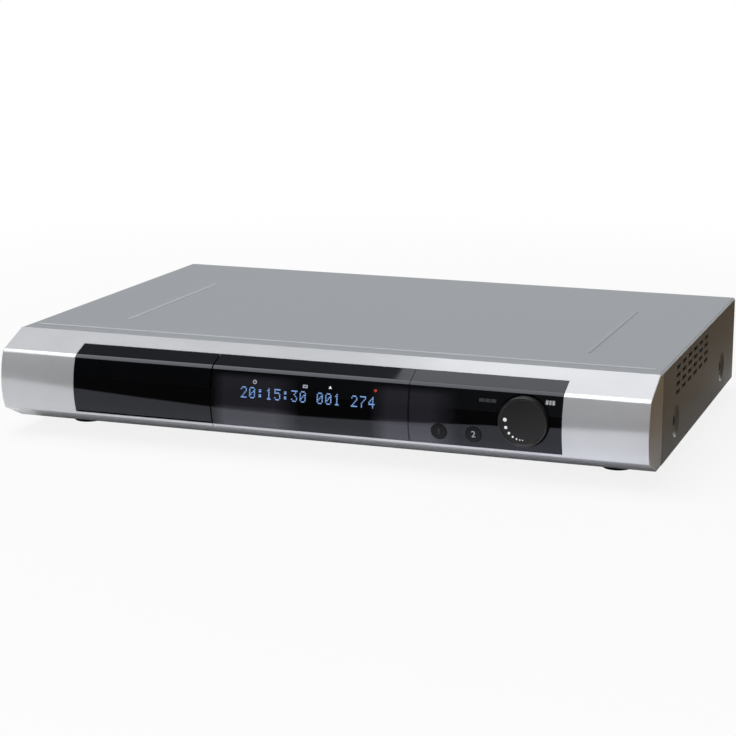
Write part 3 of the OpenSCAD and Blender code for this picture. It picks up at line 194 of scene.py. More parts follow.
window = put("Math", [window, behind, across], "MULTIPLY_ADD")
dim = put("Background", {"Color": tint, "Strength": window})
plain = put("Background", {"Color": (1, 1, 1, 1), "Strength": 1.0})
ray = put("LightPath").outputs["Is Camera Ray"]
put("OutputWorld", {"Surface": put("MixShader", [ray, dim, plain])})
bpy.context.scene.world = room

for name, wide, deep, place, radiance in (
    ("overhead_lamp", 1.36, 2.0, (-0.42, -0.5, 1.5), 3.1),
    ("rear_lamp", 0.7, 0.43, (-0.15, 0.935, 1.5), 1.3),
):
    lamp = bpy.data.lights.new(name, "AREA")
    lamp.shape = "RECTANGLE"
    lamp.size = wide
    lamp.size_y = deep
    lamp.energy = radiance * pi * wide * deep
    lamp_stand = bpy.data.objects.new(name, lamp)
    lamp_stand.location = place
    bpy.context.scene.collection.objects.link(lamp_stand)


# ------------------------------ front moulding
# One piece of moulded ABS with a silver lacquer: a slope, a curved face and a lower bevel
# between two closed cheeks. It is hollow behind and open where the black window sits.
crease = (-141.25 + 3 + 26.5) * MM
nose_z = 33.5 * MM
face_r = 43 * MM
face_y = crease - 26.5 * MM + face_r
slope = radians(22.2)
underside = radians(24)
wall = 2.2 * MM
cheek = 8.7 * MM


def edit(piece, kind, test=lambda *part: True):
    """Opens the piece in edit mode with the corners, edges or faces that pass selected."""
    pick(piece)
    mesh = piece.data
    bpy.context.tool_settings.mesh_select_mode = [kind == k for k in ("VERT", "EDGE", "FACE")]
    for group in (mesh.vertices, mesh.edges, mesh.polygons):
        group.foreach_set("select", [False] * len(group))
    place = [v.co for v in mesh.vertices]
    if kind == "VERT":
        mesh.vertices.foreach_set("select", [test(p) for p in place])
    elif kind == "EDGE":
        ends = [[place[i] for i in e.vertices] for e in mesh.edges]
        mesh.edges.foreach_set("select", [test(*pair) for pair in ends])
    else:
        mesh.polygons.foreach_set("select", [test(f.center, f.normal) for f in mesh.polygons])
    bpy.ops.object.mode_set(mode="EDIT")


def round_off(piece, test, width, segments, profile=0.5):
    """Bevels the edges of the piece that pass."""
    edit(piece, "EDGE", test)
    bpy.ops.mesh.bevel(offset=width, segments=segments, profile=profile, affect="EDGES")
    bpy.ops.object.mode_set(mode="OBJECT")


def made(name):
    """The object just added, alone selected, named and with its place in its mesh."""
    piece = bpy.context.active_object
    piece.name = name
    piece.data.name = name
    bpy.ops.object.transform_apply(location=True, rotation=True, scale=True)
    return piece


def block(name, low, high):
    """A cube drawn out between two corners, as the start of a piece or as a cutter."""
    deselect()
    low, high = Vector(low), Vector(high)
    bpy.ops.mesh.primitive_cube_add(size=1, location=(low + high) / 2, scale=high - low)
    return made(name)


def rod(name, radius, start, end, sides=48):
    """A round bar between two points of a line along X, Y or Z."""
    deselect()
    start, end = Vector(start), Vector(end)
    bpy.ops.mesh.primitive_cylinder_add(
        vertices=sides,
        radius=radius,
        depth=(end - start).length,
        location=(start + end) / 2,
        rotation=(end - start).to_track_quat("Z", "Y").to_euler(),
    )
    return made(name)


def cut(piece, *tools, operation="DIFFERENCE"):
    """Cuts the tools out of the piece, or joins them to it, and takes the tools away."""
    pick(piece)
    for tool in tools:
        change = piece.modifiers.new(operation.lower(), "BOOLEAN")
        change.operation = operation
        change.solver = "EXACT"
        change.object = tool
        bpy.ops.object.modifier_apply(modifier=change.name)
        bpy.data.objects.remove(tool)
    return piece


def dress(piece, edge=0, segments=2, angle=35):
    """Breaks the sharp edges, then shades the piece smooth between the edges that are left."""
    pick(piece)
    if edge:
        soft = piece.modifiers.new("broken_edges", "BEVEL")
        soft.width = edge
        soft.segments = segments
        soft.limit_method = "ANGLE"
        soft.angle_limit = radians(angle)
        soft.harden_normals = False
        bpy.ops.object.modifier_apply(modifier=soft.name)
    bpy.ops.object.shade_smooth_by_angle(angle=radians(angle))
    flat = piece.modifiers.new("even_normals", "WEIGHTED_NORMAL")
    flat.keep_sharp = True
    bpy.ops.object.modifier_apply(modifier=flat.name)


def front_form(name, inset, x0, x1, back, top, end_edge=0.0):
    """The front's outline, inset below its skin, carried along X as one solid."""
    deselect()
    bpy.ops.mesh.primitive_circle_add(
        vertices=240,
        radius=face_r - inset,
        fill_type="NGON",
        location=(x0, face_y, nose_z),
        rotation=(0, pi / 2, 0),
    )
    form = made(name)
    low = 8 * MM
    planes = [
        (Vector(at), Vector(out))
        for at, out in (
            ((x0, crease, 60 * MM - inset / cos(slope)), (0, -sin(slope), cos(slope))),
            (
                (x0, crease - 4 * MM, low + inset / cos(underside)),
                (0, -sin(underside), -cos(underside)),
            ),
            ((x0, crease + back, 0), (0, 1, 0)),
            ((x0, 0, top), (0, 0, 1)),
            ((x0, 0, low + inset), (0, 0, -1)),
        )
    ]
    for at, out in planes:
        edit(form, "FACE")
        bpy.ops.mesh.bisect(plane_co=at, plane_no=out, clear_outer=True)
    edit(form, "VERT")
    bpy.ops.mesh.remove_doubles(threshold=1e-5)
    bpy.ops.object.mode_set(mode="OBJECT")
    if not inset:
        # The corners where the slope and the underside meet the curve, taken a little round.
        points = [v.co for v in form.data.vertices]
        bend, chin = [
            min((p for p in points if abs((p - at).dot(out)) < 1e-6), key=lambda p: p.y).copy()
            for at, out in planes[:2]
        ]
        edit(form, "VERT", lambda p: 1e-5 < min((p - bend).length, (p - chin).length) < 2.6 * MM)
        bpy.ops.mesh.dissolve_verts()
        for corner, length in ((bend, 1.7 * MM), (chin, 0.6 * MM)):
            edit(form, "VERT", lambda p: (p - corner).length < 1e-5)
            bpy.ops.mesh.bevel(offset=length, segments=6, profile=0.5, affect="VERTICES")
    edit(form, "FACE")
    bpy.ops.mesh.extrude_region_move(TRANSFORM_OT_translate={"value": (x1 - x0, 0, 0)})
    edit(form, "FACE")
    bpy.ops.mesh.normals_make_consistent(inside=False)
    bpy.ops.object.mode_set(mode="OBJECT")
    if end_edge:
        round_off(form, lambda a, b: abs(a.x - b.x) < 1e-6, end_edge, 3)
    return form


def finish(name, constants):
    """A new material: (itself, what adds its nodes, its shader, the object's coordinates)."""
    material = bpy.data.materials.new(name)
    put = cleared(material)
    shader = put("BsdfPrincipled", constants)
    put("OutputMaterial", {"Surface": shader})
    return material, put, shader, put("TexCoord").outputs["Object"]


def two_tone(shader, pattern, dark, light, rough=None, spread=(0.0, 1.0)):
    """Colour from dark to light, and roughness from the first to the second, by a pattern."""
    tree = shader.id_data
    colour = {0: pattern, 6: linear(dark), 7: linear(light)}
    colour = add(tree, "Mix", colour, data_type="RGBA")
    feed(shader, {"Base Color": colour})
    if rough:
        feed(shader, {"Roughness": add(tree, "MapRange", [pattern, *spread, *rough])})
    return colour


def raised(shader, pattern, height):
    """Lets a pattern stand up from the surface, as far as the height in metres."""
    bump = {"Height": pattern, "Distance": height, "Strength": 1.0}
    feed(shader, {"Normal": add(shader.id_data, "Bump", bump)})


def hand_over(piece, material, body, node=None):
    """Gives a finished piece its material, its body and the CAD node it replaces."""
    piece.data.materials.clear()
    piece.data.materials.append(material)
    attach(piece, body)
    if node:
        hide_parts(node)


window_x = 143.3 * MM
window_y = crease - 11 * MM
window_z = 17.9 * MM
section_x = 58 * MM
end_x = 187.8 * MM
front = front_form("front_moulding_shell", 0, -190 * MM, 190 * MM, cheek, 60 * MM, 0.5 * MM)
cut(
    front,
    block("step", (-0.2, crease, 59 * MM), (0.2, crease + 0.02, 0.07)),
    front_form("hollow", wall, -end_x, end_x, cheek + 1 * MM, 59 * MM - wall),
    block("opening", (-window_x, crease - 0.04, window_z), (window_x, window_y, 0.08)),
    block(
        "lip_notch",
        (-58.35 * MM, crease - 0.04, 10 * MM),
        (-57.85 * MM, crease - 20.3 * MM, 19 * MM),
    ),
)
dress(front)

# Silver lacquer over ABS, sprayed and baked: part mirror, part milky, with a faint waviness
# about 3 mm apart and a glitter of flakes drawn at 0.5 mm, coarser than the real 0.05 mm.
silver_lacquer, put, shader, spot = finish("silver_lacquer", {"Metallic": 0.3, "Roughness": 0.2})
flake = put("TexNoise", {"Vector": spot, "Scale": 2000.0, "Detail": 1.0})
patch = put("TexNoise", {"Vector": spot, "Scale": 40.0})
blend = put("Math", [flake, patch], "ADD")
two_tone(shader, put("MapRange", [blend, 0.7, 1.3]), "DDDFE3", "E6E8EC")
wave = put("TexNoise", {"Vector": spot, "Scale": 330.0, "Detail": 1.0})
raised(shader, wave, 2e-6)
hand_over(front, silver_lacquer, "root", "front_moulding")


# ------------------------------ window
# Three sections of polished black acrylic, bent with the front. The middle one covers the
# display, the right one carries the knob and the keys, and the left one is the card flap.
def section(name, x0, x1, gap):
    """One section of the window: the front's skin, 2 mm thick, from x0 to x1."""
    piece = front_form(name, 0, x0, x1, 0, 60 * MM)
    for at, out in (((0, window_y - gap, 0), (0, 1, 0)), ((0, 0, window_z + gap), (0, 0, -1))):
        edit(piece, "FACE")
        bpy.ops.mesh.bisect(plane_co=at, plane_no=out, clear_outer=True, use_fill=True)
    deselect()
    return cut(piece, front_form("inner", 2 * MM, x0 - 1 * MM, x1 + 1 * MM, 1 * MM, 57 * MM))


knob_at = Vector((122.5 * MM, 0, 35 * MM))
key_z = 25.4 * MM
key_xs = (75.4 * MM, 94.8 * MM)
middle = section("display_section", -section_x + 0.25 * MM, section_x - 0.2 * MM, 0.2 * MM)
controls = section("control_section", section_x, window_x - 0.2 * MM, 0.2 * MM)
for radius, x, z, sides in (
    (14.4 * MM, knob_at.x, knob_at.z, 96),
    *[(4.55 * MM, x, key_z, 48) for x in key_xs],
):
    cut(controls, rod("control_hole", radius, (x, -0.16, z), (x, -0.1, z), sides))
flap = section("card_flap_leaf", -window_x + 0.25 * MM, -section_x - 0.45 * MM, 0.5 * MM)
hinge = Vector((0, crease - 22.4226 * MM, 20.3 * MM))
cut(flap, block("below", (-0.2, -0.2, 0), (0, -0.1, hinge.z)))
for name, radius, x0, x1, sides in (
    ("barrel", 1.9 * MM, -143.05 * MM, -58.45 * MM, 48),
    ("pins", 0.8 * MM, -145.65 * MM, -55.65 * MM, 24),
):
    bar = rod(name, radius, (x0, hinge.y, hinge.z), (x1, hinge.y, hinge.z), sides)
    cut(flap, bar, operation="UNION")

# Polished black acrylic with a hard coat: a clear and slightly blue shine, with faint wipe
# marks about 15 mm long that dull it a little, as fingers and cloths leave them. Beside the
# display and at the start of the control section, grey patches are painted into its colour
# as a painted reflection. They are lighter in the lower part, where they stand for the floor's
# reflection.
clear_coat = {"IOR": 1.49, "Specular Tint": (0.85, 0.89, 1.0, 1)}
black_gloss, put, shader, spot = finish("black_gloss", clear_coat)
patch = put("TexNoise", {"Vector": spot, "Scale": 30.0})
colour = two_tone(shader, patch, "060708", "0B0C0E")
x, _, z = put("SeparateXYZ", [spot]).outputs
reflection_patches = 0.0
for start, full, until, gone in (
    (-57.2, -50, -20, -5),
    (36, 46, 57.5, 58.5),
    (58.5, 58.7, 70, 86),
):
    near = put("MapRange", [x, start * MM, full * MM])
    far = put("MapRange", [x, gone * MM, until * MM])
    reflection_patches = put("Math", [near, far, reflection_patches], "MULTIPLY_ADD")
# Painted reflection: a grey mixed into the black over the patches, lighter in the lower part.
height = put("MapRange", [z, 26.5 * MM, 30.5 * MM])
painted_reflection = {0: height, 6: linear("58585F"), 7: linear("2F2F36")}
painted_reflection = put("Mix", painted_reflection, data_type="RGBA")
below = put("MapRange", [z, 48.5 * MM, 45 * MM])
reflection_patches = put("Math", [reflection_patches, below], "MULTIPLY")
black_with_painted_reflection = put("Mix", {0: reflection_patches, 6: colour, 7: painted_reflection}, data_type="RGBA")
stretched = put("Mapping", {"Vector": spot, "Scale": (1, 3, 3)})
wipe = put("TexNoise", {"Vector": stretched, "Scale": 65.0, "Detail": 3.0})
gloss = put("MapRange", [wipe, 0.3, 0.7, 0.02, 0.06])
feed(shader, {"Base Color": black_with_painted_reflection, "Roughness": gloss})
for piece, body, node in (
    (middle, "root", "display_window"),
    (controls, "root", "control_panel"),
    (flap, "flap", "card_flap"),
):
    dress(piece, edge=0.15 * MM)
    hand_over(piece, black_gloss, body, node)


# ------------------------------ display
# The lit characters of the display tube, blue-white dots five across and seven high, with
# four marks above them. They glow through the black window, so they sit just in its skin.
DIGITS = {
    "0": (14, 17, 19, 21, 25, 17, 14),
    "1": (4, 12, 4, 4, 4, 4, 14),
    "2": (14, 17, 1, 2, 4, 8, 31),
    "3": (31, 2, 4, 2, 1, 17, 14),
    "4": (2, 6, 10, 18, 31, 2, 2),
    "5": (31, 16, 30, 1, 1, 17, 14),
    "7": (31, 1, 2, 4, 8, 8, 8),
    ":": (0, 12, 12, 0, 12, 12, 0),
}


def skin_y(z):
    """Y of the front's curved face at a height."""
    return face_y - sqrt(face_r**2 - (z - nose_z) ** 2)


def joined(pieces):
    """The first of the pieces, with the others joined into it."""
    pick(*pieces)
    bpy.ops.object.join()
    return pieces[0]


def copies(piece, places):
    """Copies of a piece, each with its own mesh, carried to each place and joined into it."""
    twins = [piece]
    for place in places[1:]:
        twin = piece.copy()
        twin.data = piece.data.copy()
        twin.data.transform(Matrix.Translation(place))
        bpy.context.scene.collection.objects.link(twin)
        twins.append(twin)
    piece.data.transform(Matrix.Translation(places[0]))
    return joined(twins)


dots = []
for place, character in enumerate("20:15:30 001 274"):
    for row, line in enumerate(DIGITS.get(character, ())):
        for column in range(5):
            if line >> (4 - column) & 1:
                z = (41.0 - 0.92 * row) * MM
                dots.append(Vector(((-39.3 + 5 * place + 0.72 * column) * MM, skin_y(z), z)))
glyphs = rod("display_characters", 0.39 * MM, (0, -0.07 * MM, 0), (0, 0.4 * MM, 0), 8)
copies(glyphs, dots)


def faced(piece, x, z):
    """Turns a piece made at the origin, facing -Y, onto the front's curve at a place."""
    lean = asin((z - nose_z) / face_r)
    piece.data.transform(Matrix.Translation((x, skin_y(z), z)) @ Matrix.Rotation(-lean, 4, "X"))


proud, sunk = -0.05 * MM, 0.6 * MM
ring = rod("disc_mark", 1.2 * MM, (0, proud, 0), (0, sunk, 0), 24)
cut(ring, rod("eye", 0.6 * MM, (0, -1 * MM, 0), (0, 1 * MM, 0), 24))
bars = block("bars_mark", (-1.4 * MM, proud, -0.9 * MM), (1.4 * MM, sunk, 0.9 * MM))
cut(bars, block("slit", (-0.8 * MM, -1 * MM, -0.25 * MM), (0.8 * MM, 1 * MM, 0.25 * MM)))
arrow = rod("arrow_mark", 1.0 * MM, (0, proud, 0), (0, sunk, 0), 3)
spark = rod("record_mark", 0.85 * MM, (0, proud, 0), (0, sunk, 0), 20)
places = (-31.6, 44.2), (-1.7, 44.0), (12.9, 44.4), (39.0, 44.8)
for piece, (x, z) in zip((ring, bars, arrow, spark), places):
    faced(piece, x * MM, z * MM)

# Phosphor dots seen through black acrylic: they give their own light, brighter in the
# middle of each stroke. The blue ones read as #9DBCE6 and the warning dot as dull red.
for name, body_colour, glow, strength, pieces in (
    ("blue_phosphor", "4F6F9E", "8FB4EE", 0.85, (glyphs,)),
    ("grey_phosphor", "8A8D92", "B9BEC8", 0.45, (ring, bars)),
    ("white_phosphor", "D8DADC", "F4F6FA", 0.8, (arrow,)),
    ("red_phosphor", "8C2A1E", "C0432C", 0.55, (spark,)),
):
    material, put, shader, spot = finish(name, {"Roughness": 0.35, "Emission Strength": strength})
    speck = put("TexNoise", {"Vector": spot, "Scale": 900.0, "Detail": 1.0})
    feed(shader, {"Emission Color": two_tone(shader, speck, body_colour, glow)})
    for piece in pieces:
        hand_over(piece, material, "root")


# ------------------------------ jog knob
# A turned-looking disc of black ABS with a raised rim, on the encoder's shaft. Seven white dots,
# each smaller than the one before, are moulded into its face on a quarter turn.
knob_front = -141.25 * MM
dot_top = knob_front + 0.25 * MM
dot_ring_r = 9.6 * MM
shrink = 0.81


def on_knob(y):
    """The point of the knob's axis at a Y."""
    return knob_at.x, y, knob_at.z


knob = rod("jog_knob_disc", 13.5 * MM, on_knob(knob_front + 5.5 * MM), on_knob(knob_front), 120)
round_off(knob, lambda a, b: max(abs(p.y - knob_front) for p in (a, b)) < 1e-6, 0.6 * MM, 4)
edit(knob, "FACE", lambda centre, normal: normal.y < -0.99)
bpy.ops.mesh.inset(thickness=0.45 * MM)
bpy.ops.mesh.inset(thickness=0.35 * MM)
bpy.ops.transform.translate(value=(0, 0.3 * MM, 0))
bpy.ops.mesh.inset(thickness=0.2 * MM)
bpy.ops.object.mode_set(mode="OBJECT")
hub = rod("hub", 5 * MM, on_knob(knob_front + 4.5 * MM), on_knob(crease - 20.4 * MM))
cut(knob, hub, operation="UNION")
cut(knob, rod("shaft_bore", 3 * MM, on_knob(knob_front + 2 * MM), on_knob(crease)))
dots = []
for n in range(7):
    swing = radians(175 + 97 * (1 - shrink**n) / (1 - shrink**6))
    at = knob_at + Vector((dot_ring_r * cos(swing), 0, dot_ring_r * sin(swing)))
    radius = 1.05 * MM * shrink**n
    start, end = (at.x, dot_top, at.z), (at.x, knob_front + 0.6 * MM, at.z)
    dots.append(rod("knob_dot_inlays", radius, start, end, 32))
    round_off(dots[-1], lambda a, b: max(a.y, b.y) < dot_top + 1e-6, 0.06 * MM, 2)
    start, end = (at.x, dot_top - 1 * MM, at.z), (at.x, knob_front + 0.59 * MM, at.z)
    cut(knob, rod("pocket", radius + 0.01 * MM, start, end, 32))
knob_dots = joined(dots)
dress(knob)
dress(knob_dots)


def grained(
    name, constants, grain, tones, rough=None, spread=(0.0, 1.0), height=0.0, relief=None,
    stretch=None, bands=None,
):
    """A finish of one pattern: noise of a scale and detail, stretched, or bands across an
    axis. Its relief follows the pattern too, or else a noise of its own."""
    material, put, shader, spot = finish(name, constants)
    if stretch:
        spot = put("Mapping", {"Vector": spot, "Scale": stretch})
    pattern = {"Vector": spot, "Scale": grain[0], "Detail": grain[1]}
    if bands:
        pattern = put("TexWave", pattern, bands_direction=bands).outputs["Fac"]
    else:
        pattern = put("TexNoise", pattern)
    two_tone(shader, pattern, *tones, rough, spread)
    if relief:
        pattern = {"Vector": spot, "Scale": relief[0], "Detail": relief[1]}
        pattern = put("TexNoise", pattern)
    if height:
        raised(shader, pattern, height)
    return material


# Black ABS from a spark-eroded mould: satin, with a grain drawn at 0.35 mm where the real
# one is about 0.1 mm, and a slight polish where fingers turn it.
knob_satin = grained(
    "knob_satin", {"IOR": 1.5}, (90, 2), ("1F1F20", "28282A"), (0.42, 0.34), (0.3, 0.7),
    4e-6, (2800, 2),
)
hand_over(knob, knob_satin, "knob", "jog_knob")

# White acrylic inlays, polished flush: bright, with a trace of milkiness 2 mm across. They are
# given a painted glow, emitting their own colour though they are no lamp.
glowing = {"Roughness": 0.2, "Emission Strength": 0.35}
glowing_white_inlay, put, shader, spot = finish("glowing_white_inlay", glowing)
cloud = put("TexNoise", {"Vector": spot, "Scale": 500.0, "Detail": 1.0})
feed(shader, {"Emission Color": two_tone(shader, cloud, "E9EBED", "FAFBFC")})
hand_over(knob_dots, glowing_white_inlay, "knob", "knob_dots")


# ------------------------------ keys
# Two round caps of black ABS. Each face follows the curve of the panel, a flange behind
# keeps it in, and its stem presses a switch on the front board.

# Fine-textured black ABS, so that the caps stand darker than the window's shine round them.
# It is a shade bluer than the window, and clouded by a hair where fingers have rubbed it.
key_satin = grained(
    "key_satin", {"IOR": 1.52, "Specular IOR Level": 0.22}, (300, 3), ("07090E", "0B0D13"),
    (0.3, 0.4), (0.3, 0.7),
)
panel_inside_r = face_r - 2 * MM
flange_low = 20.5 * MM
flange_y = face_y - sqrt(panel_inside_r**2 - (flange_low - nose_z) ** 2) + 0.5 * MM
key_proud = 0.3 * MM
for x, body in zip(key_xs, ("left_key", "right_key")):
    cap = rod(body + "_cap", 4.3 * MM, (x, -0.15, key_z), (x, flange_y + 0.3 * MM, key_z), 64)
    start, end = [(x + reach, face_y, nose_z) for reach in (-0.01, 0.01)]
    cut(cap, rod("curve", face_r + key_proud, start, end, 360), operation="INTERSECT")
    flange = rod("flange", 4.9 * MM, (x, flange_y, key_z), (x, flange_y + 0.8 * MM, key_z), 64)
    start, end = (x, flange_y + 0.4 * MM, key_z), (x, crease - 16.4 * MM, key_z)
    cut(cap, flange, rod("stem", 1.6 * MM, start, end, 32), operation="UNION")
    dress(cap, edge=0.25 * MM, segments=3)
    hand_over(cap, key_satin, body, body)


# Generic marks: a numeral printed on each key, a plain dim bar and a bright one by the knob.
def printed(name, numeral, x, z):
    """A numeral 0.06 mm thick on a key's curved face, upright and turned to lie along it."""
    deselect()
    bpy.ops.object.text_add()
    text = bpy.context.active_object
    text.data.body = numeral
    text.data.size = 5.2 * MM
    text.data.extrude = 0.03 * MM
    text.data.align_x = "CENTER"
    text.data.align_y = "CENTER"
    bpy.ops.object.convert(target="MESH")
    mark = bpy.context.active_object
    mark.name = name
    lean = Matrix.Rotation(pi / 2 - asin((z - nose_z) / face_r), 4, "X")
    face = skin_y(z) - key_proud - 0.03 * MM
    mark.data.transform(Matrix.Translation((x, face, z)) @ lean)
    return mark


bright, dim = ("B9BCC2", "E4E6E8"), ("3A3A3F", "4A4A50")
marks = [
    (printed(body + "_numeral", numeral, x, key_z), body, tones)
    for x, body, numeral, tones in zip(key_xs, ("left_key", "right_key"), "12", (dim, bright))
]
for name, x, z, wide, high, tones in (
    ("dim_label", 102.2, 44.5, 9.4, 1.9, dim),
    ("bright_label", 136.4, 45.9, 5.0, 2.3, bright),
):
    x0, x1, half_high = -wide / 2 * MM, wide / 2 * MM, high / 2 * MM
    label = block(name, (x0, -0.04 * MM, -half_high), (x1, 0.5 * MM, half_high))
    for slit in (1, 2):
        at = x0 + (x1 - x0) * slit / 3
        start = (at - 0.25 * MM, -1 * MM, -half_high * 2)
        cut(label, block("slit", start, (at + 0.25 * MM, 1 * MM, half_high * 2)))
    faced(label, x * MM, z * MM)
    marks.append((label, "root", tones))

# White screen print, drawn 0.06 mm thick: chalky, and thinner in places. The dim ones are grey.
for mark, body, tones in marks:
    ink = grained("screen_print_" + mark.name, {"Roughness": 0.5}, (1500, 1), tones)
    hand_over(mark, ink, body)


# ------------------------------ top cover
# One sheet of steel, 1 mm thick, folded down both sides and powder coated. Three lines are
# pressed up into its top, each side has vent slots, and each side screw sits in a dish.
half = 190 * MM
roof = 60 * MM
rear = crease + 244 * MM
sheet_t = 1 * MM
hole_r = 1.6 * MM
cover = block("top_cover_sheet", (-half, crease + 0.2 * MM, 8 * MM), (half, rear, roof))
round_off(cover, lambda a, b: abs(a.x - b.x) < 1e-6 and min(a.z, b.z) > 0.05, 1.5 * MM, 8)
edit(cover, "FACE", lambda centre, normal: abs(normal.y) > 0.99 or normal.z < -0.99)
bpy.ops.mesh.delete(type="FACE")
bpy.ops.object.mode_set(mode="OBJECT")
folded = cover.modifiers.new("sheet", "SOLIDIFY")
folded.thickness = sheet_t
folded.offset = -1
folded.use_even_offset = True
bpy.ops.object.modifier_apply(modifier=folded.name)
cut(cover, block("side_front", (-0.2, crease, 0), (0.2, crease + 8.9 * MM, 59 * MM)))

dish_r, dish_floor_r, dish_depth, dish_z = 9.5 * MM, 7.3 * MM, 1.6 * MM, 24.2 * MM
dish_ys = (crease + 48 * MM, rear - 44.5 * MM)
seat = half - dish_depth


def dish(name, way, y, grow, out):
    """The tapered stamp that presses a dish, from its floor out to a plane across X."""
    deselect()
    floor_x = seat - grow
    floor_r = dish_floor_r + grow * 0.6
    reach = out - floor_x
    bpy.ops.mesh.primitive_cone_add(
        vertices=72,
        radius1=floor_r,
        radius2=floor_r + reach * (dish_r - dish_floor_r) / dish_depth,
        depth=reach,
        location=(way * (floor_x + out) / 2, y, dish_z),
        rotation=(0, way * pi / 2, 0),
    )
    stamp = made(name)
    round_off(stamp, lambda a, b: max(abs(a.x), abs(b.x)) < floor_x + 1e-6, 1.2 * MM, 6)
    return stamp


for y in dish_ys:
    for way in (-1, 1):
        cut(cover, dish("dish_back", way, y, sheet_t, half - 0.5 * MM), operation="UNION")
        cut(cover, dish("dish", way, y, 0, half + 1 * MM))
        start, end = (way * (half - 5 * MM), y, dish_z), (way * half, y, dish_z)
        cut(cover, rod("screw_hole", hole_r, start, end, 32))

slot = rod("slot_end", 1.15 * MM, (-0.2, 0, 0), (0.2, 0, 0), 24)
for way, test in ((1, lambda p: p.y > 1e-6), (-1, lambda p: p.y < 1e-6)):
    edit(slot, "VERT", test)
    bpy.ops.transform.translate(value=(0, way * 4.6 * MM, 0))
bpy.ops.object.mode_set(mode="OBJECT")
vents = [
    Vector((0, crease + (52 + 17.6 * column) * MM, roof - (6 + 4.7 * row) * MM))
    for column in range(6)
    for row in range(4)
]
cut(cover, copies(slot, vents))
bead_wide, bead_high = 1.3, 0.4
bead_r = (bead_wide**2 + bead_high**2) / (2 * bead_high) * MM
bead_z = roof + bead_high * MM - bead_r
for ends in (
    ((-185.5, 12.8), (185.5, 12.8)),
    ((-141, 43), (-141, 174)),
    ((141, 43), (141, 174)),
):
    start, end = [Vector((x * MM, crease + y * MM, bead_z)) for x, y in ends]
    along = (end - start).normalized() * bead_r * 0.45
    line = rod("bead", bead_r, start - along, end + along, 72)
    round_off(line, lambda a, b: (a - b).length < bead_r * 0.2, bead_r * 0.9, 10)
    above = block("above", (-0.2, -0.2, roof - 0.5 * MM), (0.2, 0.2, 0.07))
    cut(cover, cut(line, above, operation="INTERSECT"), operation="UNION")
tab_y = crease + 242.1 * MM
rear_screw_z = 52.5 * MM
rear_screw_xs = (-150 * MM, 0, 150 * MM)
for x in rear_screw_xs:
    tab = block("rear_tab", (x - 7 * MM, tab_y, 48 * MM), (x + 7 * MM, tab_y + sheet_t, 59.5 * MM))
    round_off(tab, lambda a, b: abs(a.y - b.y) > 1e-6 and max(a.z, b.z) < 0.05, 2 * MM, 4)
    start, end = [(x, tab_y + y * MM, rear_screw_z) for y in (-1, 2)]
    cut(tab, rod("rear_screw_hole", hole_r, start, end, 32))
    cut(cover, tab, operation="UNION")
dress(cover, angle=16)

# Fine satin powder coat, silver grey: a soft spread shine and an orange-peel grain, drawn
# at 0.8 mm where the real one is about 0.4 mm. Cloudy by a hair over 50 mm. On the crests
# of the front and left pressed lines, a painted highlight lightens the colour.
satin_powder, put, shader, spot = finish("satin_powder_coat", {"IOR": 1.5})
cloud = put("TexNoise", {"Vector": spot, "Scale": 20.0, "Detail": 3.0})
fleck = put("TexNoise", {"Vector": spot, "Scale": 2200.0, "Detail": 1.0})
tone = put("Math", [fleck, 0.5, cloud], "MULTIPLY_ADD")
colour = two_tone(shader, put("MapRange", [tone, 0.5, 1.0]), "8D9297", "92979C")
x, y, z = put("SeparateXYZ", [spot]).outputs
# Painted highlight on the crests: a paler colour, full on the front line, most of the way on the
# left one, none on the right.
crest_highlight = put("MapRange", [z, roof + 0.03 * MM, roof + 0.16 * MM])
leftward = put("MapRange", [x, 130 * MM, -130 * MM, 0.0, 0.8])
forward = put("MapRange", [y, crease + 40 * MM, crease + 20 * MM])
highlight_reach = put("Math", [leftward, forward], "MAXIMUM")
crest_highlight = put("Math", [crest_highlight, highlight_reach], "MULTIPLY")
coat_with_crest_highlight = put("Mix", {0: crest_highlight, 6: colour, 7: linear("B9BEC2")}, data_type="RGBA")
gloss = put("MapRange", [cloud, 0.3, 0.7, 0.33, 0.35])
feed(shader, {"Base Color": coat_with_crest_highlight, "Roughness": gloss})
peel = put("TexNoise", {"Vector": spot, "Scale": 1250.0})
raised(shader, peel, 7e-6)
hand_over(cover, satin_powder, "root", "top_cover")


# ------------------------------ feet
# Four round feet of moulded black rubber: a broken lower edge, a ring groove on the tread
# and a recess for the screw that holds each one to the tray.
def upright(name, radius, low, high, sides=48):
    """A round bar on the Z axis between two heights in millimetres."""
    return rod(name, radius * MM, (0, 0, low * MM), (0, 0, high * MM), sides)


foot = upright("rubber_feet", 8.5, 0, 8, 64)
round_off(foot, lambda a, b: max(a.z, b.z) < 1e-6, 1 * MM, 4)
edit(foot, "FACE", lambda centre, normal: normal.z < -0.99 and centre.z < 1e-6)
bpy.ops.mesh.inset(thickness=0.8 * MM)
bpy.ops.mesh.inset(thickness=0.8 * MM)
bpy.ops.object.mode_set(mode="OBJECT")
groove = cut(upright("groove", 6.8, -1, 0.5, 64), upright("land", 5.9, -2, 1, 64))
cut(foot, groove, upright("recess", 4, -1, 3.5), upright("bore", 1.6, 3, 9, 32))
foot_places = [
    Vector((x * 162 * MM, y, 0)) for x in (-1, 1) for y in (crease + 28 * MM, rear - 30 * MM)
]
feet = copies(foot, foot_places)
dress(feet)

# Moulded black rubber: dull, greyer where it has picked up dust, with a fine matt grain
# drawn at 0.5 mm.
foot_rubber = grained(
    "foot_rubber", {"IOR": 1.52, "Roughness": 0.75}, (160, 4), ("0A0A0B", "151516"),
    height=1e-5, relief=(2000, 1),
)
hand_over(feet, foot_rubber, "root", "feet")


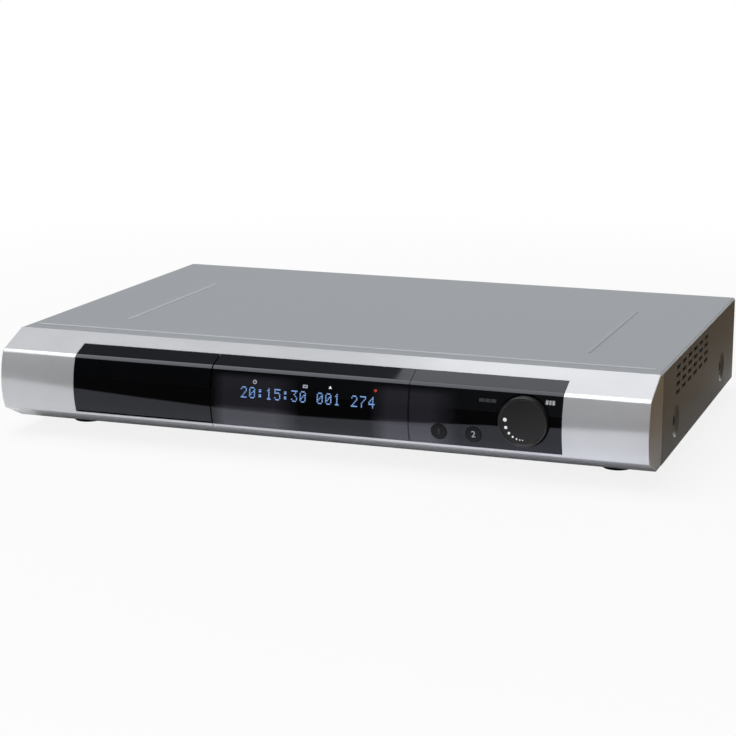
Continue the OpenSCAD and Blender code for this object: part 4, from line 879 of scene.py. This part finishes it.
# ------------------------------ screws
# Small steel screws with a cross recess: pan heads under the feet, thin painted heads in
# the side dishes and on the cover's rear tabs.
def screws(name, head, shank, cross, settings):
    """Screws with a cross recess in a head 5.6 mm across, each made standing on the head's
    underside, head up, and then set at (place, axis, angle, spin), as one piece."""
    pieces = []
    radius = 2.8 * MM
    arm, wide = radius * 0.55, radius * 0.13
    for place, axis, angle, spin in settings:
        piece = rod(name, radius, (0, 0, 0), (0, 0, head), 40)
        round_off(piece, lambda a, b: min(a.z, b.z) > head - 1e-6, head * 0.45, 3, 0.6)
        shaft = rod("shank", 1.5 * MM, (0, 0, -shank), (0, 0, head / 2), 32)
        cut(piece, shaft, operation="UNION")
        for x, y in ((arm, wide), (wide, arm)):
            cut(piece, block("slot", (-x, -y, head - cross), (x, y, head + 1 * MM)))
        turned = Matrix.Rotation(angle, 4, axis) @ Matrix.Rotation(spin, 4, "Z")
        piece.data.transform(Matrix.Translation(place) @ turned)
        pieces.append(piece)
    return joined(pieces)


side_screws = [
    ((way * (seat - 0.1 * MM), y, dish_z), "Y", way * pi / 2, 0.4 + y * 9)
    for way in (-1, 1)
    for y in dish_ys
]
rear_screws = [
    ((x, tab_y + sheet_t, rear_screw_z), "X", -pi / 2, 0.3 + x * 5) for x in rear_screw_xs
]
foot_screws = [
    (place + Vector((0, 0, 3.5 * MM)), "X", pi, place.x * 7 + place.y * 3) for place in foot_places
]

# Dark paint over steel, worn to a duller grey on the raised edges of the heads.
painted = {"Metallic": 0.3, "Roughness": 0.45}
screw_paint = grained("dark_screw_paint", painted, (1200, 2), ("464440", "6A6862"))

# Zinc plate: a pale bluish metal, clouded where the passivation is thicker.
zinc_plate = grained("zinc_plate", {"Metallic": 1.0}, (500, 2), ("B4B9BE", "C9C8C0"), (0.25, 0.4))
for name, head, shank, cross, settings, material, slot_name, node in (
    ("side_screw_heads", 1, 5.4, 0.7, side_screws, screw_paint, "screw_paint", "side_screws"),
    ("rear_screw_heads", 1, 5.1, 0.7, rear_screws, screw_paint, "screw_paint", "rear_screws"),
    ("foot_screw_heads", 1.6, 8.5, 1, foot_screws, zinc_plate, "screw_zinc", "foot_screws"),
):
    heads = screws(name, head * MM, shank * MM, cross * MM, settings)
    dress(heads)
    hand_over(heads, material, "root", node)


# ------------------------------ chassis
# The tray and the disk's cradle are galvanised sheet steel, 1 mm thick, punched and folded.
# The rear panel is sheet steel with the cover's paint in a lighter grey.
def wear(material, *nodes):
    """Gives CAD nodes this material in place of their plain one."""
    for node in nodes:
        for slot in bpy.data.objects[node].material_slots:
            slot.material = material


# Hot-dip galvanised steel: zinc spangles about 8 mm across, each its own grey, and faint
# rolling lines along the case.
spangled_zinc, put, shader, spot = finish("spangled_zinc", {"Metallic": 1.0})
spangle = put("TexVoronoi", {"Vector": spot, "Scale": 125.0}).outputs["Color"]
two_tone(shader, spangle, "8C9296", "B4B9BC", (0.3, 0.48))
rolled = put("Mapping", {"Vector": spot, "Scale": (2, 60, 60)})
raised(shader, put("TexNoise", {"Vector": rolled, "Scale": 30.0}), 3e-6)
wear(spangled_zinc, "chassis_tray", "disk_cradle")

# Satin paint over steel, pale grey: a soft shine with an orange-peel grain drawn at 0.8 mm.
pale_paint = grained(
    "pale_satin_paint", {"IOR": 1.5}, (26, 3), ("9DA2A5", "ABB0B3"), (0.4, 0.46),
    height=8e-6, relief=(1250, 2),
)
wear(pale_paint, "rear_panel")


# ------------------------------ card bay
# Behind the flap a black bay is moulded round two card slots and a chip card slot. The
# cage behind it is folded tinned steel, with the chip card reader clipped on top.

# Black ABS from a spark-eroded mould: dull, with a grain drawn at 0.4 mm.
eroded_black = grained(
    "eroded_black", {"IOR": 1.52}, (2500, 2), ("0E0F10", "1B1C1E"), (0.5, 0.68), height=1e-5
)
wear(eroded_black, "card_bay", "chip_card_reader")

# Tinned sheet steel: bright, with rolling lines a few tenths of a millimetre apart along X.
tin_tones, tin_rough, tin_stretch = ("9B9E9F", "C3C4C2"), (0.22, 0.4), (8, 220, 220)
tinned_steel = grained(
    "tinned_steel", {"Metallic": 1.0}, (12, 3), tin_tones, tin_rough, stretch=tin_stretch
)
wear(tinned_steel, "card_cage", "tuner_cans", "network_socket")


# ------------------------------ front board
# The board behind the front carries the display tube, the encoder of the knob and the two
# key switches. A flat ribbon takes its signals down to the main board.

# Green solder mask over copper: tracks 2 mm apart show lighter, tinned pads are bright, and
# the surface is glossy. Tracks and pads are drawn coarser than the real 0.3 mm.
solder_mask, put, shader, spot = finish("green_solder_mask", {"IOR": 1.55})
tracks = 0.0
lines = {"Scale": 60.0, "Mortar Size": 0.012, "Brick Width": 0.9, "Row Height": 0.13}
for turned in (0.0, pi / 2):
    laid = put("Mapping", {"Vector": spot, "Rotation": (turned / 2, 0, turned)})
    net = put("TexBrick", {"Vector": laid, **lines}).outputs["Fac"]
    tracks = put("Math", [tracks, net], "MAXIMUM")
green = two_tone(shader, tracks, "0D4526", "1F7040", (0.24, 0.3))
pads = put("TexVoronoi", {"Vector": spot, "Scale": 210.0}).outputs["Distance"]
tin = put("MapRange", [pads, 0.2, 0.16])
board_colour = put("Mix", {0: tin, 6: green, 7: linear("B9B8AC")}, data_type="RGBA")
feed(shader, {"Base Color": board_colour})
raised(shader, tracks, 2e-5)
wear(solder_mask, "front_board", "main_board")

# Dark display glass with the mesh of its grid just showing, 1 mm apart.
tube_glass, put, shader, spot = finish("display_glass", {"IOR": 1.52})
mesh = [
    put("TexWave", {"Vector": spot, "Scale": 314.0}, bands_direction=axis).outputs["Fac"]
    for axis in "XZ"
]
grid = put("Math", mesh, "MULTIPLY")
two_tone(shader, grid, "0C1112", "202829", (0.05, 0.1))
wear(tube_glass, "display_tube")

# Turned aluminium alloy: bright rings 0.3 mm apart, left by the tool.
turned_alloy = grained(
    "turned_alloy", {"Metallic": 1.0}, (1047, 2), ("A5A8AB", "C9CCCE"), (0.2, 0.34),
    height=4e-6, bands="Y",
)
wear(turned_alloy, "encoder_shaft")

# Natural acetal: milky, waxy, a little yellow, with flow clouds about 2 mm across.
waxy = {"IOR": 1.48, "Subsurface Weight": 0.1}
natural_acetal = grained("natural_acetal", waxy, (450, 2), ("CFCBBE", "E0DDD1"), (0.32, 0.46))
wear(natural_acetal, "encoder_plunger", "key_switches")

# Flat ribbon cable: grey insulation ribbed over conductors 1 mm apart.
ribbed_ribbon = grained(
    "ribbed_ribbon", {"IOR": 1.5}, (314, 2), ("7F8184", "B4B6B8"), (0.5, 0.4),
    height=1e-4, bands="X",
)
wear(ribbed_ribbon, "front_ribbon")

# Glass-filled black plastic, moulded: half matt, with pale swirls of fibre 1 mm across.
filled_black, put, shader, spot = finish("glass_filled_black", {"IOR": 1.55})
eddies = {"Vector": spot, "Scale": 900.0, "Detail": 3.0, "Distortion": 1.0}
swirl = put("TexNoise", eddies)
two_tone(shader, swirl, "101112", "1E1F21", (0.36, 0.52))
raised(shader, swirl, 6e-6)
wear(filled_black, "encoder_body", "phono_block", "mains_inlet", "switch_housing", "fan_frame")
wear(filled_black, "fan_rotor", "scart_socket", "optical_socket")


# ------------------------------ main board
# Green board on turned brass hexagon standoffs, with the processor under a black finned
# heatsink, epoxy chips and two closed tuner cans at the aerial sockets.

# Turned brass: warm yellow metal with tool rings 0.3 mm apart.
turned_brass = grained(
    "turned_brass", {"Metallic": 1.0}, (1047, 2), ("A98641", "CDAA63"), (0.2, 0.32), bands="Z"
)
wear(turned_brass, "board_standoffs", "inlet_pins")
wear(zinc_plate, "board_screws", "disk_screws")

# Black anodised extrusion: dark metal with fine die lines along the fins.
black_anodised = grained(
    "black_anodised", {"Metallic": 0.6}, (10, 2), ("151618", "2A2C2F"), (0.34, 0.5),
    stretch=(300, 6, 300),
)
wear(black_anodised, "processor_heatsink")

# Moulded epoxy of the chips: matt, very dark grey, peppered with filler.
chip_epoxy = grained(
    "chip_epoxy", {"IOR": 1.55}, (3000, 1), ("131415", "222325"), (0.55, 0.7), height=4e-6
)
wear(chip_epoxy, "board_chips")


# ------------------------------ aerial sockets
# Four threaded aerial sockets of nickel-plated brass, each held to the rear panel by a
# hexagon nut, with a white insulator round the hole for the cable's core.
def outward(name, radius, start, end, sides=48):
    """A round bar on the Y axis between two distances in millimetres."""
    return rod(name, radius * MM, (0, start * MM, 0), (0, end * MM, 0), sides)


panel = crease + 242 * MM
aerial_places = [Vector(((-166 + 21 * n) * MM, panel, 23.6 * MM)) for n in range(4)]
aerial_len, half_pitch = 11, 0.4
tip = aerial_len * MM
barrel = outward("aerial_sockets_threaded", 4.7, 2, aerial_len, 40)
crests = [(2.4 + half_pitch * n) * MM for n in range(19)]
for y in crests:
    edit(barrel, "FACE")
    bpy.ops.mesh.bisect(plane_co=(0, y, 0), plane_no=(0, 1, 0))
roots = crests[1::2]
edit(barrel, "VERT", lambda p: min(abs(p.y - y) for y in roots) < 1e-6)
bpy.ops.transform.resize(value=(0.93, 1, 0.93))
round_off(barrel, lambda a, b: min(a.y, b.y) > tip - 1e-6, 0.35 * MM, 2)
cut(barrel, outward("shoulder", 5.2, -3, 2), operation="UNION")
cut(barrel, outward("bore", 3.5, aerial_len - 3, aerial_len + 1, 40))
barrels = copies(barrel, aerial_places)
insulator = outward("aerial_insulators", 3.48, aerial_len - 3, aerial_len - 0.7, 40)
cut(insulator, outward("core_hole", 0.7, aerial_len - 2.8, aerial_len, 20))
round_off(
    insulator,
    lambda a, b: min(a.y, b.y) > tip - 0.8 * MM and min(a.xz.length, b.xz.length) > 2 * MM,
    0.2 * MM,
    2,
)
insulators = copies(insulator, aerial_places)
dress(barrels)
dress(insulators)

# Nickel plate over brass: a warm bright metal, a little clouded by handling.
nickel_plate = grained(
    "nickel_plate", {"Metallic": 1.0}, (600, 2), ("B5B2A6", "D3D0C6"), (0.12, 0.26)
)
wear(nickel_plate, "aerial_nuts")
hand_over(barrels, nickel_plate, "root", "aerial_sockets")

# White fluoroplastic: waxy white with a trace of grey flow.
waxy = {"IOR": 1.35, "Subsurface Weight": 0.1}
white_insulator = grained("white_insulator", waxy, (500, 2), ("D9D9D6", "ECECEA"), (0.3, 0.4))
hand_over(insulators, white_insulator, "root")


# ------------------------------ phono sockets
# Three plated sleeves in a black block. Each holds a coloured insulator with a split spring
# contact behind its hole: yellow for the picture, white and red for the sound.
phono_places = [Vector((x * MM, panel, 22.1 * MM)) for x in (18.4, 31.4, 44.4)]
sleeve = outward("phono_sleeves_turned", 4.1, -4, 9)
round_off(sleeve, lambda a, b: min(a.y, b.y) > 8.9 * MM, 0.4 * MM, 3)
groove = cut(outward("groove", 5, 1.6, 2.4), outward("neck", 3.85, 1, 3))
cut(sleeve, outward("bore", 3.3, 0.5, 10), groove)
sleeves = copies(sleeve, phono_places)
plug_seat = outward("phono_insulators", 3.28, 0.5, 8.4)
cut(plug_seat, outward("pin_hole", 1.6, 1.5, 9, 32))
seats = copies(plug_seat, phono_places)
dress(sleeves)
dress(seats)
hand_over(sleeves, nickel_plate, "root", "phono_sleeves")

# Coloured polyethylene: plain, slightly waxy, yellow, white and red by place.
phono_colours, put, shader, spot = finish("coloured_polyethylene", {"IOR": 1.5})
place = put("SeparateXYZ", [spot]).outputs["X"]
flow = put("TexNoise", {"Vector": spot, "Scale": 700.0})
first, second = [put("Math", [place, x * MM], "GREATER_THAN") for x in (25, 38)]
colour = two_tone(shader, flow, "C29A1C", "D6AE2C", (0.3, 0.42))
for beyond, dark, light in ((first, "CFCFCB", "E4E4E1"), (second, "8E1C16", "AE2A22")):
    hue = put("Mix", {0: flow, 6: linear(dark), 7: linear(light)}, data_type="RGBA")
    colour = put("Mix", {0: beyond, 6: colour, 7: hue}, data_type="RGBA")
feed(shader, {"Base Color": colour})
hand_over(seats, phono_colours, "root")


# ------------------------------ board sockets
# Network, two USB, digital video, scart and optical sockets stand on the main board with
# their mouths through the rear panel. Their contacts are gold-flashed springs.
contact = block("socket_contacts", (-0.2 * MM, -4 * MM, -0.2 * MM), (0.2 * MM, 4 * MM, 0.2 * MM))
round_off(contact, lambda a, b: min(a.y, b.y) > 3.9 * MM, 0.15 * MM, 2)
contact_places = [
    Vector(((middle_x + pitch * (n - (count - 1) / 2)) * MM, y * MM, z * MM))
    for middle_x, pitch, count, y, zs in (
        (-82, 1.02, 8, 125.5, (24.9,)),
        (-64.9, 2.2, 4, 125.8, (19.7, 27.5)),
        (-48.3, 1.1, 10, 125.8, (17.8,)),
        (-14.7, 3.8, 10, 124.8, (22.7, 29.5)),
    )
    for z in zs
    for n in range(count)
]
contacts = copies(contact, contact_places)
dress(contacts)

# Gold flash over bronze: warm yellow, bright, a little uneven.
gold_flash = grained(
    "gold_flash", {"Metallic": 1.0}, (1500, 2), ("B08A3C", "D8B566"), (0.18, 0.3)
)
hand_over(contacts, gold_flash, "root")

# The shells are tinned steel and the tongues inside them are moulded: white in the USB
# sockets, black in the video socket. One material tells them apart by height and depth.
for name, node, heights, width, centre, tongue in (
    ("usb_shell_and_tongue", "usb_sockets", (20.6, 28.4), 5.55, -64.9, ("D8D8D4", "E6E6E3")),
    ("video_shell_and_tongue", "video_socket", (18.6,), 5.85, -48.3, ("161718", "232426")),
):
    material, put, shader, spot = finish(name, {})
    x, y, z = put("SeparateXYZ", [spot]).outputs
    rolled = put("Mapping", {"Vector": spot, "Scale": tin_stretch})
    lines = put("TexNoise", {"Vector": rolled, "Scale": 12.0, "Detail": 3.0})
    steel = two_tone(shader, lines, *tin_tones, tin_rough)
    part = put("Math", [x, centre * MM, width * MM], "COMPARE")
    deep = put("Math", [y, 130.4 * MM], "LESS_THAN")
    level = 0.0
    for height in heights:
        near = put("Math", [z, height * MM, 0.95 * MM], "COMPARE")
        level = put("Math", [level, near], "ADD")
    for limit in (deep, level):
        part = put("Math", [part, limit], "MULTIPLY")
    plastic = {0: lines, 6: linear(tongue[0]), 7: linear(tongue[1])}
    plastic = put("Mix", plastic, data_type="RGBA")
    both = put("Mix", {0: part, 6: steel, 7: plastic}, data_type="RGBA")
    metal = put("Math", [1.0, part], "SUBTRACT")
    feed(shader, {"Base Color": both, "Metallic": metal})
    wear(material, node)


# ------------------------------ power supply
# A tan board with a taped transformer, sleeved capacitors and a plain finned heatsink, fed
# by the two-pole inlet and the rocker switch on the rear panel.

# Paper laminate: tan, with resin clouds 20 mm across and a paper grain along the board.
tan_laminate, put, shader, spot = finish("tan_laminate", {"IOR": 1.52})
laid = put("Mapping", {"Vector": spot, "Scale": (40, 6, 40)})
paper_grain = put("TexNoise", {"Vector": laid, "Scale": 14.0, "Detail": 3.0})
resin = put("TexNoise", {"Vector": spot, "Scale": 55.0})
blend = put("Math", [paper_grain, resin], "MULTIPLY")
blend = put("MapRange", [blend, 0.1, 0.4]).outputs[0]
two_tone(shader, blend, "9A7034", "C09656", (0.38, 0.5))
wear(tan_laminate, "power_board")

# Transformer: a dull dark ferrite core, and amber tape over the winding at its two ends.
taped_winding, put, shader, spot = finish("ferrite_and_tape", {"IOR": 1.5})
off = put("SeparateXYZ", [spot]).outputs["Y"]
off = put("Math", [off, 58.25 * MM], "SUBTRACT")
off = put("Math", [off], "ABSOLUTE")
taped = put("Math", [off, 15.1 * MM], "GREATER_THAN")
laps = {"Vector": spot, "Scale": 70.0, "Distortion": 1.0}
laps = put("TexWave", laps, bands_direction="Z").outputs["Fac"]
tape = put("Mix", {0: laps, 6: linear("A77F22"), 7: linear("D1A63C")}, data_type="RGBA")
sinter = put("TexNoise", {"Vector": spot, "Scale": 1800.0})
core = two_tone(shader, sinter, "1F1E1D", "33312F", (0.5, 0.6))
colour = put("Mix", {0: taped, 6: core, 7: tape}, data_type="RGBA")
feed(shader, {"Base Color": colour})
raised(shader, laps, 5e-5)
wear(taped_winding, "power_transformer")

# Capacitors: glossy dark blue sleeves shrunk over aluminium cans, whose bare tops show.
sleeved_can, put, shader, spot = finish("sleeved_can", {"IOR": 1.5})
shrunk = put("TexNoise", {"Vector": spot, "Scale": 260.0})
sleeve_blue = two_tone(shader, shrunk, "141B2E", "232C48", (0.22, 0.32))
up = put("SeparateXYZ", [put("TexCoord").outputs["Normal"]]).outputs["Z"]
top = put("Math", [up, 0.9], "GREATER_THAN")
colour = put("Mix", {0: top, 6: sleeve_blue, 7: linear("B6B8BA")}, data_type="RGBA")
feed(shader, {"Base Color": colour, "Metallic": top})
wear(sleeved_can, "power_capacitors")

# Mill aluminium: plain extruded metal with upright die lines.
mill_aluminium = grained(
    "mill_aluminium", {"Metallic": 1.0}, (10, 2), ("A1A4A7", "C6C9CB"), (0.26, 0.42),
    stretch=(300, 300, 6),
)
wear(mill_aluminium, "power_heatsink")

# Harness: thin insulated wires side by side, yellow and black by turns, in white plugs.
wire_pair, put, shader, spot = finish("wires_and_plugs", {"IOR": 1.5})
wires = {"Vector": spot, "Scale": 98.2}
wires = put("TexWave", wires, bands_direction="Y").outputs["Fac"]
hue = two_tone(shader, wires, "1B1B1C", "D0B83C", (0.42, 0.34))
off = put("SeparateXYZ", [spot]).outputs["X"]
off = put("Math", [off, 88 * MM], "SUBTRACT")
off = put("Math", [off], "ABSOLUTE")
plugs = put("Math", [off, 28.8 * MM], "GREATER_THAN")
colour = put("Mix", {0: plugs, 6: hue, 7: linear("DAD7CB")}, data_type="RGBA")
feed(shader, {"Base Color": colour})
wear(wire_pair, "power_harness")

# The switch's rocker, with the two usual marks printed on its wings, a bar and a ring.
gloss_rocker = grained(
    "gloss_rocker", {"IOR": 1.52}, (350, 3), ("0B0B0C", "161617"), (0.12, 0.22)
)
wear(gloss_rocker, "mains_rocker")
bar = block("switch_on_mark", (-0.3 * MM, -0.2 * MM, -1.3 * MM), (0.3 * MM, 0.03 * MM, 1.3 * MM))
circle = outward("switch_off_mark", 1.3, -0.2, 0.03, 32)
cut(circle, outward("eye", 0.8, -1, 1, 32))
pivot = Matrix.Translation((127 * MM, panel - 3.6 * MM, 27 * MM))
pivot @= Matrix.Rotation(radians(9), 4, "X")
# The marks take the white inlay's material, painted glow and all.
for mark, up in ((bar, 1), (circle, -1)):
    wing = Matrix.Translation((0, (5.4 + 1.6 * 3.3 / 8.8) * MM, up * 3.3 * MM))
    mark.data.transform(pivot @ wing @ Matrix.Rotation(-up * 0.18, 4, "X"))
    hand_over(mark, glowing_white_inlay, "rocker")


# ------------------------------ hard disk
# The disk sits in its cradle on four rubber dampers. Its base is cast and its lid is
# pressed stainless steel. A red data cable leaves its rear.

# Cast and painted alloy below, brushed lid above, told apart by height.
cast_and_lid, put, shader, spot = finish("cast_base_and_lid", {"Metallic": 0.8})
high = put("SeparateXYZ", [spot]).outputs["Z"]
lid = put("Math", [high, 39.05 * MM], "GREATER_THAN")
pitted = put("TexNoise", {"Vector": spot, "Scale": 900.0})
cast = two_tone(shader, pitted, "5C6063", "747A7D", (0.42, 0.55))
brushed = put("Mapping", {"Vector": spot, "Scale": (260, 5, 260)})
strokes = put("TexNoise", {"Vector": brushed, "Scale": 10.0})
steel = put("Mix", {0: strokes, 6: linear("989DA0"), 7: linear("B6BBBD")}, data_type="RGBA")
colour = put("Mix", {0: lid, 6: cast, 7: steel}, data_type="RGBA")
feed(shader, {"Base Color": colour})
raised(shader, pitted, 8e-6)
wear(cast_and_lid, "hard_disk")
wear(foot_rubber, "disk_dampers")

# Red flat data cable: soft vinyl, half matt, ribbed along its length.
red_vinyl = grained(
    "red_vinyl", {"IOR": 1.52}, (157, 2), ("8C2019", "B8382E"), (0.5, 0.4),
    height=6e-5, bands="X",
)
wear(red_vinyl, "disk_cable")
